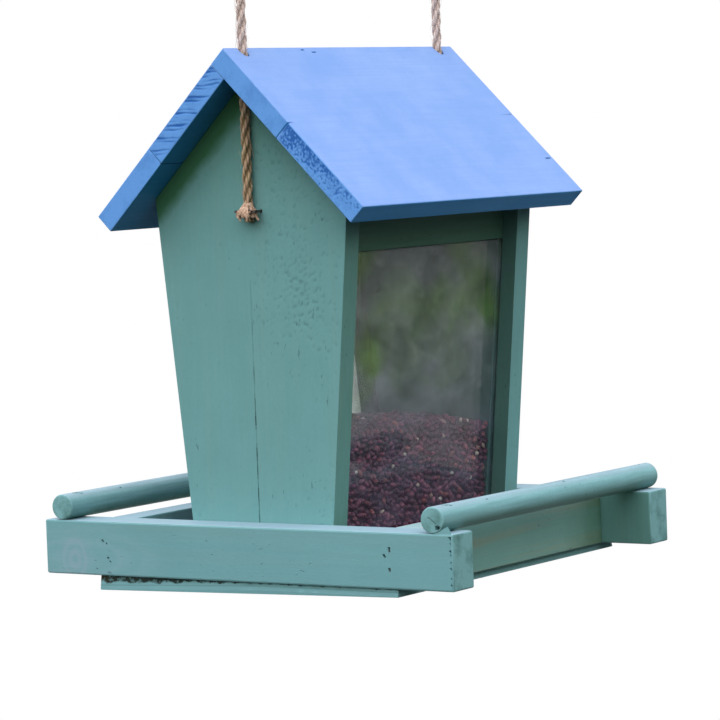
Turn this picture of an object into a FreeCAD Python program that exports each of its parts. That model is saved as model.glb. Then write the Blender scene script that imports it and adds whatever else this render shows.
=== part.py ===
# Hanging bird feeder house: a gabled seed hopper on a tray, with a loose saddle roof on a hanging rope.
# Millimetres. X runs along the ridge, the front window faces -Y, Z is up from the underside of the floor.
# The near gable stands at -X and the far gable at +X.
import FreeCAD, Part
import Sketcher
import math
import os

doc = FreeCAD.newDocument("bird_feeder_house")
dims = doc.addObject("Spreadsheet::Sheet", "dims")

# Driving sizes: name, value in millimetres or degrees, meaning
SIZES = [
    ("rail_height", 27, "side rails and cross boards"),
    ("rail_thick", 18, "side rails"),
    ("house_length", 170, "over the gables, and between the side rails"),
    ("tray_depth", 183, "over the cross boards"),
    ("rail_overhang", 28.5, "side rails past the cross boards"),
    ("cross_thick", 15, "cross boards"),
    ("floor_thick", 4, "floor board"),
    ("floor_setback", 3.5, "floor edge inside the outer face of a cross board"),
    ("floor_inset", 1.5, "floor edge inside the outer face of a rail"),
    ("edge_ease", 0.6, "sandpapered edges of rails and perches"),
    ("gable_thick", 12, "gable planks"),
    ("gable_height", 241.5, "floor to the peak of a gable"),
    ("seam_shift", 1.5, "glue seam of a gable, behind the ridge line"),
    ("foot_width", 78.4, "gable at the floor"),
    ("flare", 5.4, "lean of the gable sides, degrees"),
    ("pitch", 45, "roof slope, degrees"),
    ("roof_thick", 10.5, "roof planks"),
    ("roof_length", 205, "along the ridge"),
    ("front_roof_width", 109, "front slope, ridge to eave"),
    ("front_upper_width", 51.5, "upper plank of the front slope"),
    ("rear_roof_width", 101.5, "rear slope, from the front slope's underside to the eave"),
    ("rear_upper_width", 55.5, "upper plank of the rear slope"),
    ("roof_seat", 0.2, "gap between the loose roof and the gables"),
    ("perch_width", 12.7, "perch dowel"),
    ("perch_inset", 11, "end of a rail to the middle of a perch"),
    ("pane_thick", 2, "acrylic panes"),
    ("pane_inset", 8.2, "groove behind the edge of a gable"),
    ("pane_foot", 18, "seed gap under a pane"),
    ("pane_slack", 0.5, "play of a pane in its grooves"),
    ("groove_depth", 4, "pane grooves in the gables"),
    ("header_drop", 3, "top of a header below the widest point of a gable"),
    ("header_height", 26, "header battens"),
    ("header_thick", 9, "header battens"),
    ("rope_width", 5, "jute rope"),
    ("rope_hole", 6.5, "rope holes in the roof"),
    ("rope_gap", 0.1, "rope off the face of a gable and under its staple"),
    ("rope_shift", -1, "rope strands, in front of the ridge line"),
    ("rope_rise", 72, "straight strands above the ridge"),
    ("rope_drop", 63.5, "peak of a gable to the rope staples"),
    ("rope_tail", 5, "cut ends of the rope below their staples"),
    ("grip_crown", 12, "rope staples, over the legs"),
    ("grip_bite", 10, "rope staples, depth in the gable"),
    ("wire_wide", 1.2, "flat wire of staples and brads"),
    ("wire_deep", 0.9, "flat wire of staples and brads, along the leg of the crown"),
    ("crown_width", 4.5, "staples in the boards, over the legs"),
    ("crown_sink", 0.8, "staple crowns below the surface"),
    ("staple_bite", 14, "staple depth in the second board"),
    ("rail_staple_step", 9, "lower to upper staple of a tray corner"),
    ("house_staple_step", 40, "front to rear staple of a gable"),
    ("floor_rail_step", 100, "front to rear floor staple of a rail"),
    ("floor_cross_step", 90, "near to far floor staple of a cross board"),
    ("brad_sink", 0.5, "brad heads below the surface"),
    ("ridge_brad_length", 32, "brads through the ridge joint"),
    ("ridge_brad_step", 45, "one ridge brad to the next"),
    ("seed_depth", 73, "floor to the seed at the panes"),
    ("seed_crown", 4, "rise of the seed in the middle"),
    ("seed_gap", 0.4, "seed off the panes and gables"),
    ("spill_angle", 30, "slope of the spilled seed, degrees"),
]

# Sizes that follow from the driving ones
DERIVED = [
    ("rail_length", "=tray_depth + 2 * rail_overhang", "side rails, front to rear"),
    ("floor_depth", "=tray_depth - 2 * floor_setback", "floor board, front to rear"),
    ("perch_spacing", "=rail_length - 2 * perch_inset", "front perch to rear perch"),
    ("rail_reach", "=house_length / 2 + rail_thick", "ridge centre to the outer face of a rail"),
    ("rail_top", "=floor_thick + rail_height", "top of the tray boards"),
    ("cross_middle", "=tray_depth / 2 - cross_thick / 2", "middle of a cross board"),
    ("peak_z", "=floor_thick + gable_height", "peak of a gable"),
    ("corner_y", "=(foot_width / 2 + tan(flare) * gable_height) / (1 + tan(flare) * tan(pitch))",
     "widest point of a gable"),
    ("corner_z", "=peak_z - corner_y * tan(pitch)", "height of that point"),
    ("seam_z", "=peak_z - seam_shift * tan(pitch)", "top of the glue seam"),
    ("window_top", "=(corner_z - floor_thick) / cos(flare) - header_drop - header_height",
     "floor to the underside of a header, along the side of a gable"),
    ("rope_grip", "=gable_height - rope_drop", "floor to the rope staples"),
    ("rope_end", "=rope_grip - rope_tail", "floor to the cut ends of the rope"),
    ("inside_length", "=house_length - 2 * gable_thick", "between the gables"),
    ("ridge_z", "=peak_z + roof_seat + roof_thick / cos(pitch)", "ridge line"),
    ("butt_y", "=roof_thick / (2 * sin(pitch))", "ridge joint on the rear slope"),
    ("butt_z", "=ridge_z - roof_thick / (2 * cos(pitch))", "height of that joint"),
    ("rear_start", "=roof_thick / sin(2 * pitch)", "ridge to the rear slope's first plank"),
    ("rear_joint", "=rear_start + rear_upper_width", "ridge to the plank joint of the rear slope"),
    ("rear_eave", "=rear_start + rear_roof_width", "ridge to the rear eave"),
    ("rope_x", "=house_length / 2 + rope_gap + rope_width / 2", "strands of the rope"),
    ("seed_inset", "=pane_inset + pane_slack + pane_thick + seed_gap", "seed behind the edge of a gable"),
    ("seed_foot", "=foot_width / 2 - seed_inset / cos(flare)", "half width of the hopper seed at the floor"),
    ("spill_rise", "=pane_foot - seed_gap", "spilled seed at the pane"),
    ("spill_y", "=foot_width / 2 - seed_inset * cos(flare) + spill_rise * sin(flare)", "top of the spilled seed"),
    ("spill_z", "=floor_thick + seed_inset * sin(flare) + spill_rise * cos(flare)", "height of that top"),
    ("spill_toe", "=spill_y + (spill_z - floor_thick) / tan(spill_angle)", "toe of the spilled seed"),
]

for row, (name, value, meaning) in enumerate(SIZES + DERIVED, start=1):
    dims.set("A%d" % row, str(value))
    dims.setAlias("A%d" % row, name)
    dims.set("B%d" % row, meaning)
doc.recompute()

FRONT, REAR = "-1", "1"
NEAR, FAR = "-1", "1"
nodes = {}


def size(expression):
    """Value of an expression on the sheet."""
    return float(dims.evalExpression(expression))


def node(label, solid):
    """Give a finished sub-part its name."""
    solid.Label = label
    nodes[label] = solid
    return solid


def bind(thing, **paths):
    """Tie properties to expressions; two underscores stand for a dot."""
    for path, expression in paths.items():
        thing.setExpression(path.replace("__", "."), expression)
    return thing


# Outlines and boards

def new_body(name):
    return doc.addObject("PartDesign::Body", name)


def new_sketch(body, role, name, lift="0"):
    """Sketch on one of the body's own origin planes, moved along its normal by lift."""
    plane = [face for face in body.Origin.OriginFeatures if face.Role == role][0]
    sketch = body.newObject("Sketcher::SketchObject", name)
    sketch.AttachmentSupport = (plane, [""])
    sketch.MapMode = "FlatFace"
    return bind(sketch, AttachmentOffset__Base__z=lift)


def pin_point(sketch, geometry, point, across, up):
    """Hold one point of a sketch at a pair of expressions."""
    for kind, expression in (("DistanceX", across), ("DistanceY", up)):
        held = Sketcher.Constraint(kind, -1, 1, geometry, point, size(expression))
        number = sketch.addConstraint(held)
        sketch.setExpression("Constraints[%d]" % number, expression)


def add_outline(sketch, corners):
    """Closed outline through corners that are pairs of expressions."""
    points = [FreeCAD.Vector(size(across), size(up), 0) for across, up in corners]
    first = sketch.GeometryCount
    for here, after in zip(points, points[1:] + points[:1]):
        sketch.addGeometry(Part.LineSegment(here, after))
    for side, (across, up) in enumerate(corners):
        after = first + (side + 1) % len(corners)
        sketch.addConstraint(Sketcher.Constraint("Coincident", first + side, 2, after, 1))
        pin_point(sketch, first + side, 1, across, up)


def add_circle(sketch, across, up, width):
    """Circle of a given diameter about a pair of expressions."""
    centre = FreeCAD.Vector(size(across), size(up), 0)
    number = sketch.addGeometry(Part.Circle(centre, FreeCAD.Vector(0, 0, 1), size(width) / 2))
    pin_point(sketch, number, 3, across, up)
    measure = sketch.addConstraint(Sketcher.Constraint("Diameter", number, size(width)))
    sketch.setExpression("Constraints[%d]" % measure, width)


def pad(body, sketch, length):
    feature = body.newObject("PartDesign::Pad", "thickness")
    feature.Profile = sketch
    return bind(feature, Length=length)


def board(name, role, corners, length, x="0"):
    """Board with a drawn outline, padded along the sketch's normal and set off along X."""
    body = new_body(name)
    sketch = new_sketch(body, role, "outline")
    add_outline(sketch, corners)
    pad(body, sketch, length)
    return bind(body, Placement__Base__x=x)


def rectangle(across_low, across_high, up_low, up_high):
    return [(across_low, up_low), (across_high, up_low), (across_high, up_high), (across_low, up_high)]


def ease_edges(body):
    """Round every edge of the body's last feature."""
    doc.recompute()
    base = body.Tip
    rounded = body.newObject("PartDesign::Fillet", "eased_edges")
    rounded.Base = (base, ["Edge%d" % (number + 1) for number in range(len(base.Shape.Edges))])
    bind(rounded, Radius="dims.edge_ease")


def mirrored(source, normal):
    """Copy of a solid on the other side of the feeder's middle plane."""
    copy = doc.addObject("Part::Mirroring", source.Name + "_mirrored")
    copy.Source = source
    copy.Normal = normal
    return copy


def group(name, members):
    bundle = doc.addObject("Part::Compound", name)
    bundle.Links = members
    return bundle


def four_corners(name, members):
    """Members of one corner of the feeder and their copies in the other three."""
    left = group(name + "_near", members + [mirrored(member, (0, 1, 0)) for member in members])
    return group(name, [left, mirrored(left, (1, 0, 0))])


def cut(name, base, tools):
    """Base with the seats of its fasteners taken out."""
    result = doc.addObject("Part::Cut", name)
    result.Base = base
    result.Tool = group(name + "_fasteners", tools)
    return result


# Places on the leaning sides of the house and on the roof slopes

def leaning(side, inset, rise):
    """Point behind a gable's side edge by inset and up along it by rise."""
    across = "%s * (dims.foot_width / 2 - (%s) * cos(dims.flare) + (%s) * sin(dims.flare))" % (side, inset, rise)
    up = "dims.floor_thick + (%s) * sin(dims.flare) + (%s) * cos(dims.flare)" % (inset, rise)
    return across, up


def slope(side, run, depth):
    """Point down a roof slope by run from the ridge, below its outer face by depth."""
    across = "%s * ((%s) * cos(dims.pitch) - (%s) * sin(dims.pitch))" % (side, run, depth)
    up = "dims.ridge_z - (%s) * sin(dims.pitch) - (%s) * cos(dims.pitch)" % (run, depth)
    return across, up


def leaning_board(label, side, length, inset, thick, rise, height):
    """Flat board between the gables that leans with their side edges."""
    base_inset = inset if side == FRONT else "%s + %s" % (inset, thick)
    y, z = leaning(side, base_inset, rise)
    sheet = doc.addObject("Part::Box", label)
    sheet.Placement.Rotation = FreeCAD.Rotation(FreeCAD.Vector(-float(side), 0, 0), size("dims.flare"))
    bind(sheet, Length=length, Width=thick, Height=height)
    bind(sheet, Placement__Rotation__Angle="dims.flare", Placement__Base__x="-(%s) / 2" % length)
    bind(sheet, Placement__Base__y=y, Placement__Base__z=z)
    return node(label, sheet)


# Staples and brads: flat wire, driven into their boards

def staple_corners(middle, crown, top, under, tip, turned=False):
    """U of a staple: crown from top to under, legs to tip, across the given middle line."""
    half = "(%s) / 2" % crown
    outer = ["(%s) - %s" % (middle, half), "(%s) + %s" % (middle, half)]
    inner = ["%s + dims.wire_wide" % outer[0], "%s - dims.wire_wide" % outer[1]]
    walk = [(outer[0], top), (outer[1], top), (outer[1], tip), (inner[1], tip),
            (inner[1], under), (inner[0], under), (inner[0], tip), (outer[0], tip)]
    return [(along, across) for across, along in walk] if turned else walk


def staple(name, role, corners, level):
    """Staple drawn on an origin plane, with its wire centred on a level along the normal."""
    body = new_body(name)
    sketch = new_sketch(body, role, "wire", "%s - dims.wire_wide / 2" % level)
    add_outline(sketch, corners)
    pad(body, sketch, "dims.wire_wide")
    return body


def rail_corner(name, crown_top):
    """The two staples of one tray corner, driven through the rail into the cross board."""
    crown_under = "-dims.rail_reach + dims.crown_sink + dims.wire_deep"
    tip = "-dims.house_length / 2 + dims.staple_bite"
    corners = staple_corners("-dims.cross_middle", "dims.crown_width", crown_top, crown_under, tip, turned=True)
    middle = "dims.floor_thick + dims.rail_height / 2"
    return [staple(name + "_lower", "XY_Plane", corners, middle + " - dims.rail_staple_step / 2"),
            staple(name + "_upper", "XY_Plane", corners, middle + " + dims.rail_staple_step / 2")]


rail_staples = node("rail_staples", four_corners(
    "rail_staple_set", rail_corner("rail_staple", "-dims.rail_reach + dims.crown_sink")))
rail_slots = four_corners("rail_slot_set", rail_corner("rail_slot", "-dims.rail_reach"))

gable_inner = "-dims.house_length / 2 + dims.gable_thick"
house_corners = staple_corners(
    "-dims.house_staple_step / 2", "dims.crown_width", gable_inner + " - dims.crown_sink",
    gable_inner + " - dims.crown_sink - dims.wire_deep",
    "-dims.house_length / 2 - dims.staple_bite", turned=True)
house_staples = node("house_staples", four_corners(
    "house_staple_set", [staple("house_staple", "XY_Plane", house_corners, "dims.floor_thick + dims.rail_height / 2")]))

floor_crown = ("dims.crown_sink", "dims.crown_sink + dims.wire_deep", "dims.floor_thick + dims.staple_bite")
floor_rail_staple = staple(
    "floor_rail_staple", "YZ_Plane",
    staple_corners("-dims.floor_rail_step / 2", "dims.crown_width", *floor_crown),
    "-dims.house_length / 2 - dims.rail_thick / 2")
# The normal of the XZ plane points to the front
floor_cross_staple = staple(
    "floor_cross_staple", "XZ_Plane",
    staple_corners("-dims.floor_cross_step / 2", "dims.crown_width", *floor_crown), "dims.cross_middle")
floor_staples = node("floor_staples", four_corners("floor_staple_set", [floor_rail_staple, floor_cross_staple]))

perch_brad = doc.addObject("Part::Box", "perch_brad")
bind(perch_brad, Length="dims.wire_wide", Width="dims.wire_wide",
     Height="dims.perch_width - dims.brad_sink + dims.staple_bite",
     Placement__Base__x="-dims.house_length / 2 - dims.rail_thick / 2 - dims.wire_wide / 2",
     Placement__Base__y="-dims.perch_spacing / 2 - dims.wire_wide / 2",
     Placement__Base__z="dims.rail_top - dims.staple_bite")
perch_brads = node("perch_brads", four_corners("perch_brad_set", [perch_brad]))


def ridge_brad(name, x):
    """Brad driven square through the front slope into the end of the rear slope."""
    y, z = slope(FRONT, "dims.roof_thick / 2 + dims.wire_wide / 2", "dims.brad_sink + dims.ridge_brad_length")
    brad = doc.addObject("Part::Box", name)
    brad.Placement.Rotation = FreeCAD.Rotation(FreeCAD.Vector(1, 0, 0), size("dims.pitch"))
    return bind(brad, Length="dims.wire_wide", Width="dims.wire_wide", Height="dims.ridge_brad_length",
                Placement__Rotation__Angle="dims.pitch", Placement__Base__x=x + " - dims.wire_wide / 2",
                Placement__Base__y=y, Placement__Base__z=z)


near_brads = [ridge_brad("ridge_brad_inner", "-dims.ridge_brad_step / 2"),
              ridge_brad("ridge_brad_outer", "-dims.ridge_brad_step * 3 / 2")]
ridge_brads = node("ridge_brads", group(
    "ridge_brad_set", near_brads + [mirrored(brad, (1, 0, 0)) for brad in near_brads]))

grip_face = "dims.house_length / 2 + dims.rope_width + 2 * dims.rope_gap"
grip_corners = staple_corners(
    "dims.rope_shift", "dims.grip_crown", "-(%s) - dims.wire_deep" % grip_face, "-(%s)" % grip_face,
    "-dims.house_length / 2 + dims.grip_bite", turned=True)
near_rope_staple = node("near_rope_staple", staple(
    "near_grip", "XY_Plane", grip_corners, "dims.floor_thick + dims.rope_grip"))
far_rope_staple = node("far_rope_staple", mirrored(near_rope_staple, (1, 0, 0)))


# Tray: rails along Y, cross boards between them, a floor below and a perch across each end

def side_rail(label, side):
    x = "-dims.rail_reach" if side == NEAR else "dims.house_length / 2"
    outline = rectangle("-dims.rail_length / 2", "dims.rail_length / 2", "dims.floor_thick", "dims.rail_top")
    blank = board(label + "_blank", "YZ_Plane", outline, "dims.rail_thick", x)
    ease_edges(blank)
    return node(label, cut(label, blank, [rail_slots, house_staples, floor_staples, perch_brads]))


def cross_board(label, side):
    inner = "%s * (dims.tray_depth / 2 - dims.cross_thick)" % side
    outline = rectangle(inner, "%s * dims.tray_depth / 2" % side, "dims.floor_thick", "dims.rail_top")
    blank = board(label + "_blank", "YZ_Plane", outline, "dims.house_length", "-dims.house_length / 2")
    return node(label, cut(label, blank, [rail_slots, floor_staples]))


def perch(label, side):
    body = new_body(label + "_blank")
    sketch = new_sketch(body, "YZ_Plane", "section")
    add_circle(sketch, "%s * dims.perch_spacing / 2" % side, "dims.rail_top + dims.perch_width / 2",
               "dims.perch_width")
    pad(body, sketch, "2 * dims.rail_reach")
    bind(body, Placement__Base__x="-dims.rail_reach")
    ease_edges_of_ends(body)
    return node(label, cut(label, body, [perch_brads]))


def ease_edges_of_ends(body):
    """Break the two round edges of a dowel."""
    doc.recompute()
    base = body.Tip
    rings = ["Edge%d" % (number + 1) for number, edge in enumerate(base.Shape.Edges) if edge.isClosed()]
    broken = body.newObject("PartDesign::Chamfer", "broken_ends")
    broken.Base = (base, rings)
    bind(broken, Size="dims.edge_ease")


side_rail("near_side_rail", NEAR)
side_rail("far_side_rail", FAR)
cross_board("front_cross_board", FRONT)
cross_board("rear_cross_board", REAR)
perch("front_perch", FRONT)
perch("rear_perch", REAR)

floor_reach = "(dims.rail_reach - dims.floor_inset)"
floor_blank = board("floor_blank", "XY_Plane", rectangle(
    "-" + floor_reach, floor_reach, "-dims.floor_depth / 2", "dims.floor_depth / 2"), "dims.floor_thick")
node("floor_board", cut("floor_board", floor_blank, [floor_staples]))


# House: two gables of two planks each, with grooves for the panes, and a header over each window

def gable_plank(label, end, side):
    body = new_body(label + "_blank")
    outline = new_sketch(body, "YZ_Plane", "outline")
    corners = [("%s * dims.foot_width / 2" % side, "dims.floor_thick"), ("dims.seam_shift", "dims.floor_thick"),
               ("dims.seam_shift", "dims.seam_z"), ("%s * dims.corner_y" % side, "dims.corner_z")]
    if side == FRONT:
        corners.insert(3, ("0", "dims.peak_z"))
    add_outline(outline, corners)
    pad(body, outline, "dims.gable_thick")
    groove = new_sketch(body, "YZ_Plane", "groove_outline", "dims.gable_thick" if end == NEAR else "0")
    back = "dims.pane_inset + dims.pane_thick + 2 * dims.pane_slack"
    add_outline(groove, [leaning(side, "dims.pane_inset", "dims.pane_foot"), leaning(side, back, "dims.pane_foot"),
                         leaning(side, back, "dims.gable_height"),
                         leaning(side, "dims.pane_inset", "dims.gable_height")])
    pocket = body.newObject("PartDesign::Pocket", "pane_groove")
    pocket.Profile = groove
    pocket.Reversed = end == FAR
    bind(pocket, Length="dims.groove_depth")
    x = "-dims.house_length / 2" if end == NEAR else "dims.house_length / 2 - dims.gable_thick"
    bind(body, Placement__Base__x=x)
    grip = near_rope_staple if end == NEAR else far_rope_staple
    return node(label, cut(label, body, [house_staples, grip]))


gable_plank("near_gable_front_plank", NEAR, FRONT)
gable_plank("near_gable_rear_plank", NEAR, REAR)
gable_plank("far_gable_front_plank", FAR, FRONT)
gable_plank("far_gable_rear_plank", FAR, REAR)

pane_length = "(dims.inside_length + 2 * dims.groove_depth - 2 * dims.pane_slack)"
pane_height = "dims.window_top - dims.pane_foot - dims.pane_slack"
for label, side in (("front_pane", FRONT), ("rear_pane", REAR)):
    leaning_board(label, side, pane_length, "dims.pane_inset + dims.pane_slack", "dims.pane_thick",
                  "dims.pane_foot", pane_height)
for label, side in (("front_header", FRONT), ("rear_header", REAR)):
    leaning_board(label, side, "dims.inside_length", "dims.pane_inset", "dims.header_thick",
                  "dims.window_top", "dims.header_height")


# Roof: the front slope laps the rear slope at the ridge, and the rope runs through both

def roof_plank(label, corners, pierced=False):
    body = board(label + "_blank", "YZ_Plane", corners, "dims.roof_length", "-dims.roof_length / 2")
    if not pierced:
        return node(label, body)
    holes = new_sketch(body, "XY_Plane", "rope_holes")
    for strand in ("-dims.rope_x", "dims.rope_x"):
        add_circle(holes, "dims.roof_length / 2 + " + strand, "dims.rope_shift", "dims.rope_hole")
    drilled = body.newObject("PartDesign::Pocket", "drilled")
    drilled.Profile = holes
    drilled.Type = "ThroughAll"
    drilled.Reversed = True
    return node(label, cut(label, body, [ridge_brads]))


def slope_strip(side, start, end):
    """Section of a roof plank between two distances from the ridge."""
    return [slope(side, start, "0"), slope(side, end, "0"),
            slope(side, end, "dims.roof_thick"), slope(side, start, "dims.roof_thick")]


butt = ("dims.butt_y", "dims.butt_z")
front_upper = slope_strip(FRONT, "0", "dims.front_upper_width")
front_upper[3] = butt
rear_upper = slope_strip(REAR, "dims.rear_start", "dims.rear_joint")
rear_upper[0] = butt
rear_upper[3] = ("0", "dims.ridge_z - dims.roof_thick / cos(dims.pitch)")
roof_plank("front_roof_upper_plank", front_upper, pierced=True)
roof_plank("front_roof_lower_plank", slope_strip(FRONT, "dims.front_upper_width", "dims.front_roof_width"))
roof_plank("rear_roof_upper_plank", rear_upper, pierced=True)
roof_plank("rear_roof_lower_plank", slope_strip(REAR, "dims.rear_joint", "dims.rear_eave"))


# Seed: a crowned fill in the hopper and a wedge that has run out under each pane

seed_length = "(dims.inside_length - 2 * dims.seed_gap)"
seed_x = "-%s / 2" % seed_length
node("hopper_seed", board("hopper_seed", "YZ_Plane", [
    ("-dims.seed_foot", "dims.floor_thick"), ("dims.seed_foot", "dims.floor_thick"),
    leaning(REAR, "dims.seed_inset", "dims.seed_depth"),
    ("0", "dims.floor_thick + dims.seed_depth + dims.seed_crown"),
    leaning(FRONT, "dims.seed_inset", "dims.seed_depth")], seed_length, seed_x))
for label, side in (("front_seed_spill", FRONT), ("rear_seed_spill", REAR)):
    node(label, board(label, "YZ_Plane", [
        ("%s * dims.seed_foot" % side, "dims.floor_thick"),
        ("%s * dims.spill_y" % side, "dims.spill_z"),
        ("%s * dims.spill_toe" % side, "dims.floor_thick")], seed_length, seed_x))


# Hanging rope: up one gable, through the roof, over a round bough and down to the other gable

def rope_path(points, share):
    """Straight runs joined by tangent arcs, each arc as large as its shorter run allows."""
    edges = []
    last = points[0]
    for before, corner, after in zip(points, points[1:], points[2:]):
        arriving = (before - corner).normalize()
        leaving = (after - corner).normalize()
        half_turn = (math.pi - arriving.getAngle(leaving)) / 2
        shorter = min(run for run in ((before - corner).Length, (after - corner).Length))
        tangent = share * shorter
        radius = tangent / math.tan(half_turn)
        start, end = corner + arriving * tangent, corner + leaving * tangent
        inward = (arriving + leaving).normalize()
        middle = corner + inward * (radius / math.cos(half_turn) - radius)
        edges += [Part.LineSegment(last, start).toShape(), Part.Arc(start, middle, end).toShape()]
        last = end
        print("rope bend radius %.1f mm" % radius)
    edges.append(Part.LineSegment(last, points[-1]).toShape())
    return Part.Wire(edges)


rope_x = size("dims.rope_x")
strand_top = size("dims.ridge_z + dims.rope_rise")
octagon = rope_x * math.tan(math.pi / 8)
rope_foot = size("dims.floor_thick + dims.rope_end")
near_side = [(-rope_x, rope_foot), (-rope_x, strand_top + octagon), (-octagon, strand_top + rope_x)]
rope_points = [FreeCAD.Vector(x, size("dims.rope_shift"), z)
               for x, z in near_side + [(-x, z) for x, z in reversed(near_side)]]
path = rope_path(rope_points, 0.45)
section = Part.Wire(Part.Circle(rope_points[0], FreeCAD.Vector(0, 0, 1), size("dims.rope_width") / 2).toShape())
hanging_rope = node("hanging_rope", doc.addObject("Part::Feature", "hanging_rope"))
hanging_rope.Shape = path.makePipeShell([section], True, True)
hanging_rope.Placement = FreeCAD.Placement()
expected = math.pi * (size("dims.rope_width") / 2) ** 2 * path.Length
print("rope length %.0f mm, volume %.0f mm3, section times length %.0f mm3"
      % (path.Length, hanging_rope.Shape.Volume, expected))


# Check every object, then write each sub-part to its own file

doc.recompute()
faults = [thing.Name for thing in doc.Objects if {"Invalid", "Error"} & set(thing.State)]
for label, solid in nodes.items():
    if solid.Shape.isNull() or not solid.Shape.isValid() or not solid.Shape.Solids:
        faults.append(label)
if faults:
    raise RuntimeError("failed objects: " + ", ".join(faults))
os.makedirs("parts", exist_ok=True)
for label, solid in nodes.items():
    solid.Shape.exportStep("parts/%s.step" % label)
    print("%-24s %d solid(s) %10.1f mm3" % (label, len(solid.Shape.Solids), solid.Shape.Volume))
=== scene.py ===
# %% [markdown]
# # A hanging bird feeder house
# The feeder is a small wooden house on a seed tray, painted green, under a loose blue saddle roof that
# slides up the rope it hangs from. Its boards, joints and sizes come from a CAD frame, and this lesson
# dresses that frame: softened and torn edges, thin paint over pine, a laid jute rope, dusty panes and
# loose seed. Everything is in metres and in the frame's own axes: X runs along the ridge, the front
# window faces -Y, Z is up.

# %% Load the frame
import math
import random

import bmesh
import bpy
from mathutils import Color, Matrix, Quaternion, Vector, noise
from mathutils.kdtree import KDTree


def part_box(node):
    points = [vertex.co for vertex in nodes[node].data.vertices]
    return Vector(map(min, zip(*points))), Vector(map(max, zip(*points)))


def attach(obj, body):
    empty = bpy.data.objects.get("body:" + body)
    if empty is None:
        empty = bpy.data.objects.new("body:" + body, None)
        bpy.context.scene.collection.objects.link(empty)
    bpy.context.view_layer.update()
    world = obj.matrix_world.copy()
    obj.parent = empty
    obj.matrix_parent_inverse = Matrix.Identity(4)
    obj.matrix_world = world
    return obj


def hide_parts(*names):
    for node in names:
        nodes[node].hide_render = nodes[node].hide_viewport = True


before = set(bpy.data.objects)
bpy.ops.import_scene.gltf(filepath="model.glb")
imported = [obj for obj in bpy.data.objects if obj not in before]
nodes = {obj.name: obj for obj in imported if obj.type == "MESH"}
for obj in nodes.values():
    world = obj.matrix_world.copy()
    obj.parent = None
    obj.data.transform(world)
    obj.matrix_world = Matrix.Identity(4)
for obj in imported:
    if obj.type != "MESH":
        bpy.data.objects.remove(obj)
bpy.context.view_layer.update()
scene = bpy.context.scene
scene.view_settings.view_transform = "Standard"
MM = 0.001

# %% [markdown]
# ## The camera
# The picture was taken with a long lens from a little above the tray, turned towards the near gable. A
# long lens keeps parallel boards nearly parallel. The place and the three angles were worked out from
# the corners of the boards, and the slight roll is the feeder's own lean on its rope.

# %% Camera
CAMERA_PLACE = Vector((-1.50529, -1.00636, 0.22405))
CAMERA_AZIMUTH = math.radians(-56.336)
CAMERA_ELEVATION = math.radians(3.811)
CAMERA_ROLL = math.radians(-2.152)
CAMERA_LENS = 180.23

camera = bpy.data.objects.new("camera", bpy.data.cameras.new("camera"))
backward = Vector((math.sin(CAMERA_AZIMUTH) * math.cos(CAMERA_ELEVATION),
                   -math.cos(CAMERA_AZIMUTH) * math.cos(CAMERA_ELEVATION),
                   math.sin(CAMERA_ELEVATION)))
camera.rotation_mode = "QUATERNION"
camera.rotation_quaternion = (-backward).to_track_quat("-Z", "Y") @ Quaternion((0, 0, 1), CAMERA_ROLL)
camera.location = CAMERA_PLACE
camera.data.lens = CAMERA_LENS
camera.data.sensor_width = 36
camera.data.clip_start = 0.05
camera.data.clip_end = 50
scene.collection.objects.link(camera)
scene.camera = camera
print("camera at", [round(value, 3) for value in camera.location])

# %% [markdown]
# ## Small tools for materials
# A material here is a short chain of nodes. Two helpers keep the chains readable: one adds a node and
# fills its inputs with numbers or with links, the other mixes two colours. Colours are written as they
# look on a screen, from 0 to 255, and changed to the linear values that shaders work in.

# %% Node helpers
def screen(red, green, blue):
    """Colour as seen on a screen, as the linear colour that a shader takes."""
    return (*Color((red / 255, green / 255, blue / 255)).from_srgb_to_scene_linear(), 1.0)


def new_material(name):
    material = bpy.data.materials.new(name)
    material.use_nodes = True
    material.node_tree.nodes.clear()
    return material, material.node_tree


def add(tree, kind, fill=None, **settings):
    """Add a node, set its options and fill its inputs with values or links."""
    made = tree.nodes.new(kind)
    for option, value in settings.items():
        setattr(made, option, value)
    for socket, value in (fill or {}).items():
        if isinstance(value, bpy.types.NodeSocket):
            tree.links.new(value, made.inputs[socket])
        else:
            made.inputs[socket].default_value = value
    return made


def mix(tree, share, first, second):
    """Colour between two colours; a Mix node keeps its colour sockets at places 6 and 7."""
    return add(tree, "ShaderNodeMix", {0: share, 6: first, 7: second}, data_type="RGBA").outputs[2]


def shade(colour, level):
    """Darker or lighter copy of a colour."""
    return (*(min(1.0, channel * level) for channel in colour[:3]), 1.0)


print("white is", screen(255, 255, 255))

# %% [markdown]
# ## Patterns
# A pattern starts from a place on the piece, in metres. Noise turns the place into a value, a map range
# picks out the part of the noise that should show, and small sums join the values. A face or a point of
# the mesh may also store a value of its own, such as how worn it is, and the material reads it by name.

# %% Pattern helpers
def object_place(tree):
    return add(tree, "ShaderNodeTexCoord").outputs["Object"]


def axes_of(tree, vector):
    """The three numbers of a place or a direction, by the names X, Y and Z."""
    return add(tree, "ShaderNodeSeparateXYZ", {0: vector}).outputs


def stored(tree, name):
    """Value that the mesh stores under a name, or 0 where it has none."""
    return add(tree, "ShaderNodeAttribute", attribute_name=name).outputs["Fac"]


def spread(tree, value, low, high, bottom=0.0, top=1.0):
    """Stretch the values from low to high over bottom to top, and clip the rest."""
    fill = {"Value": value, "From Min": low, "From Max": high, "To Min": bottom, "To Max": top}
    return add(tree, "ShaderNodeMapRange", fill).outputs["Result"]


def work_out(tree, operation, first, second=0.0):
    """Result of a sum with one or two values."""
    return add(tree, "ShaderNodeMath", {0: first, 1: second}, operation=operation).outputs["Value"]


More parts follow.
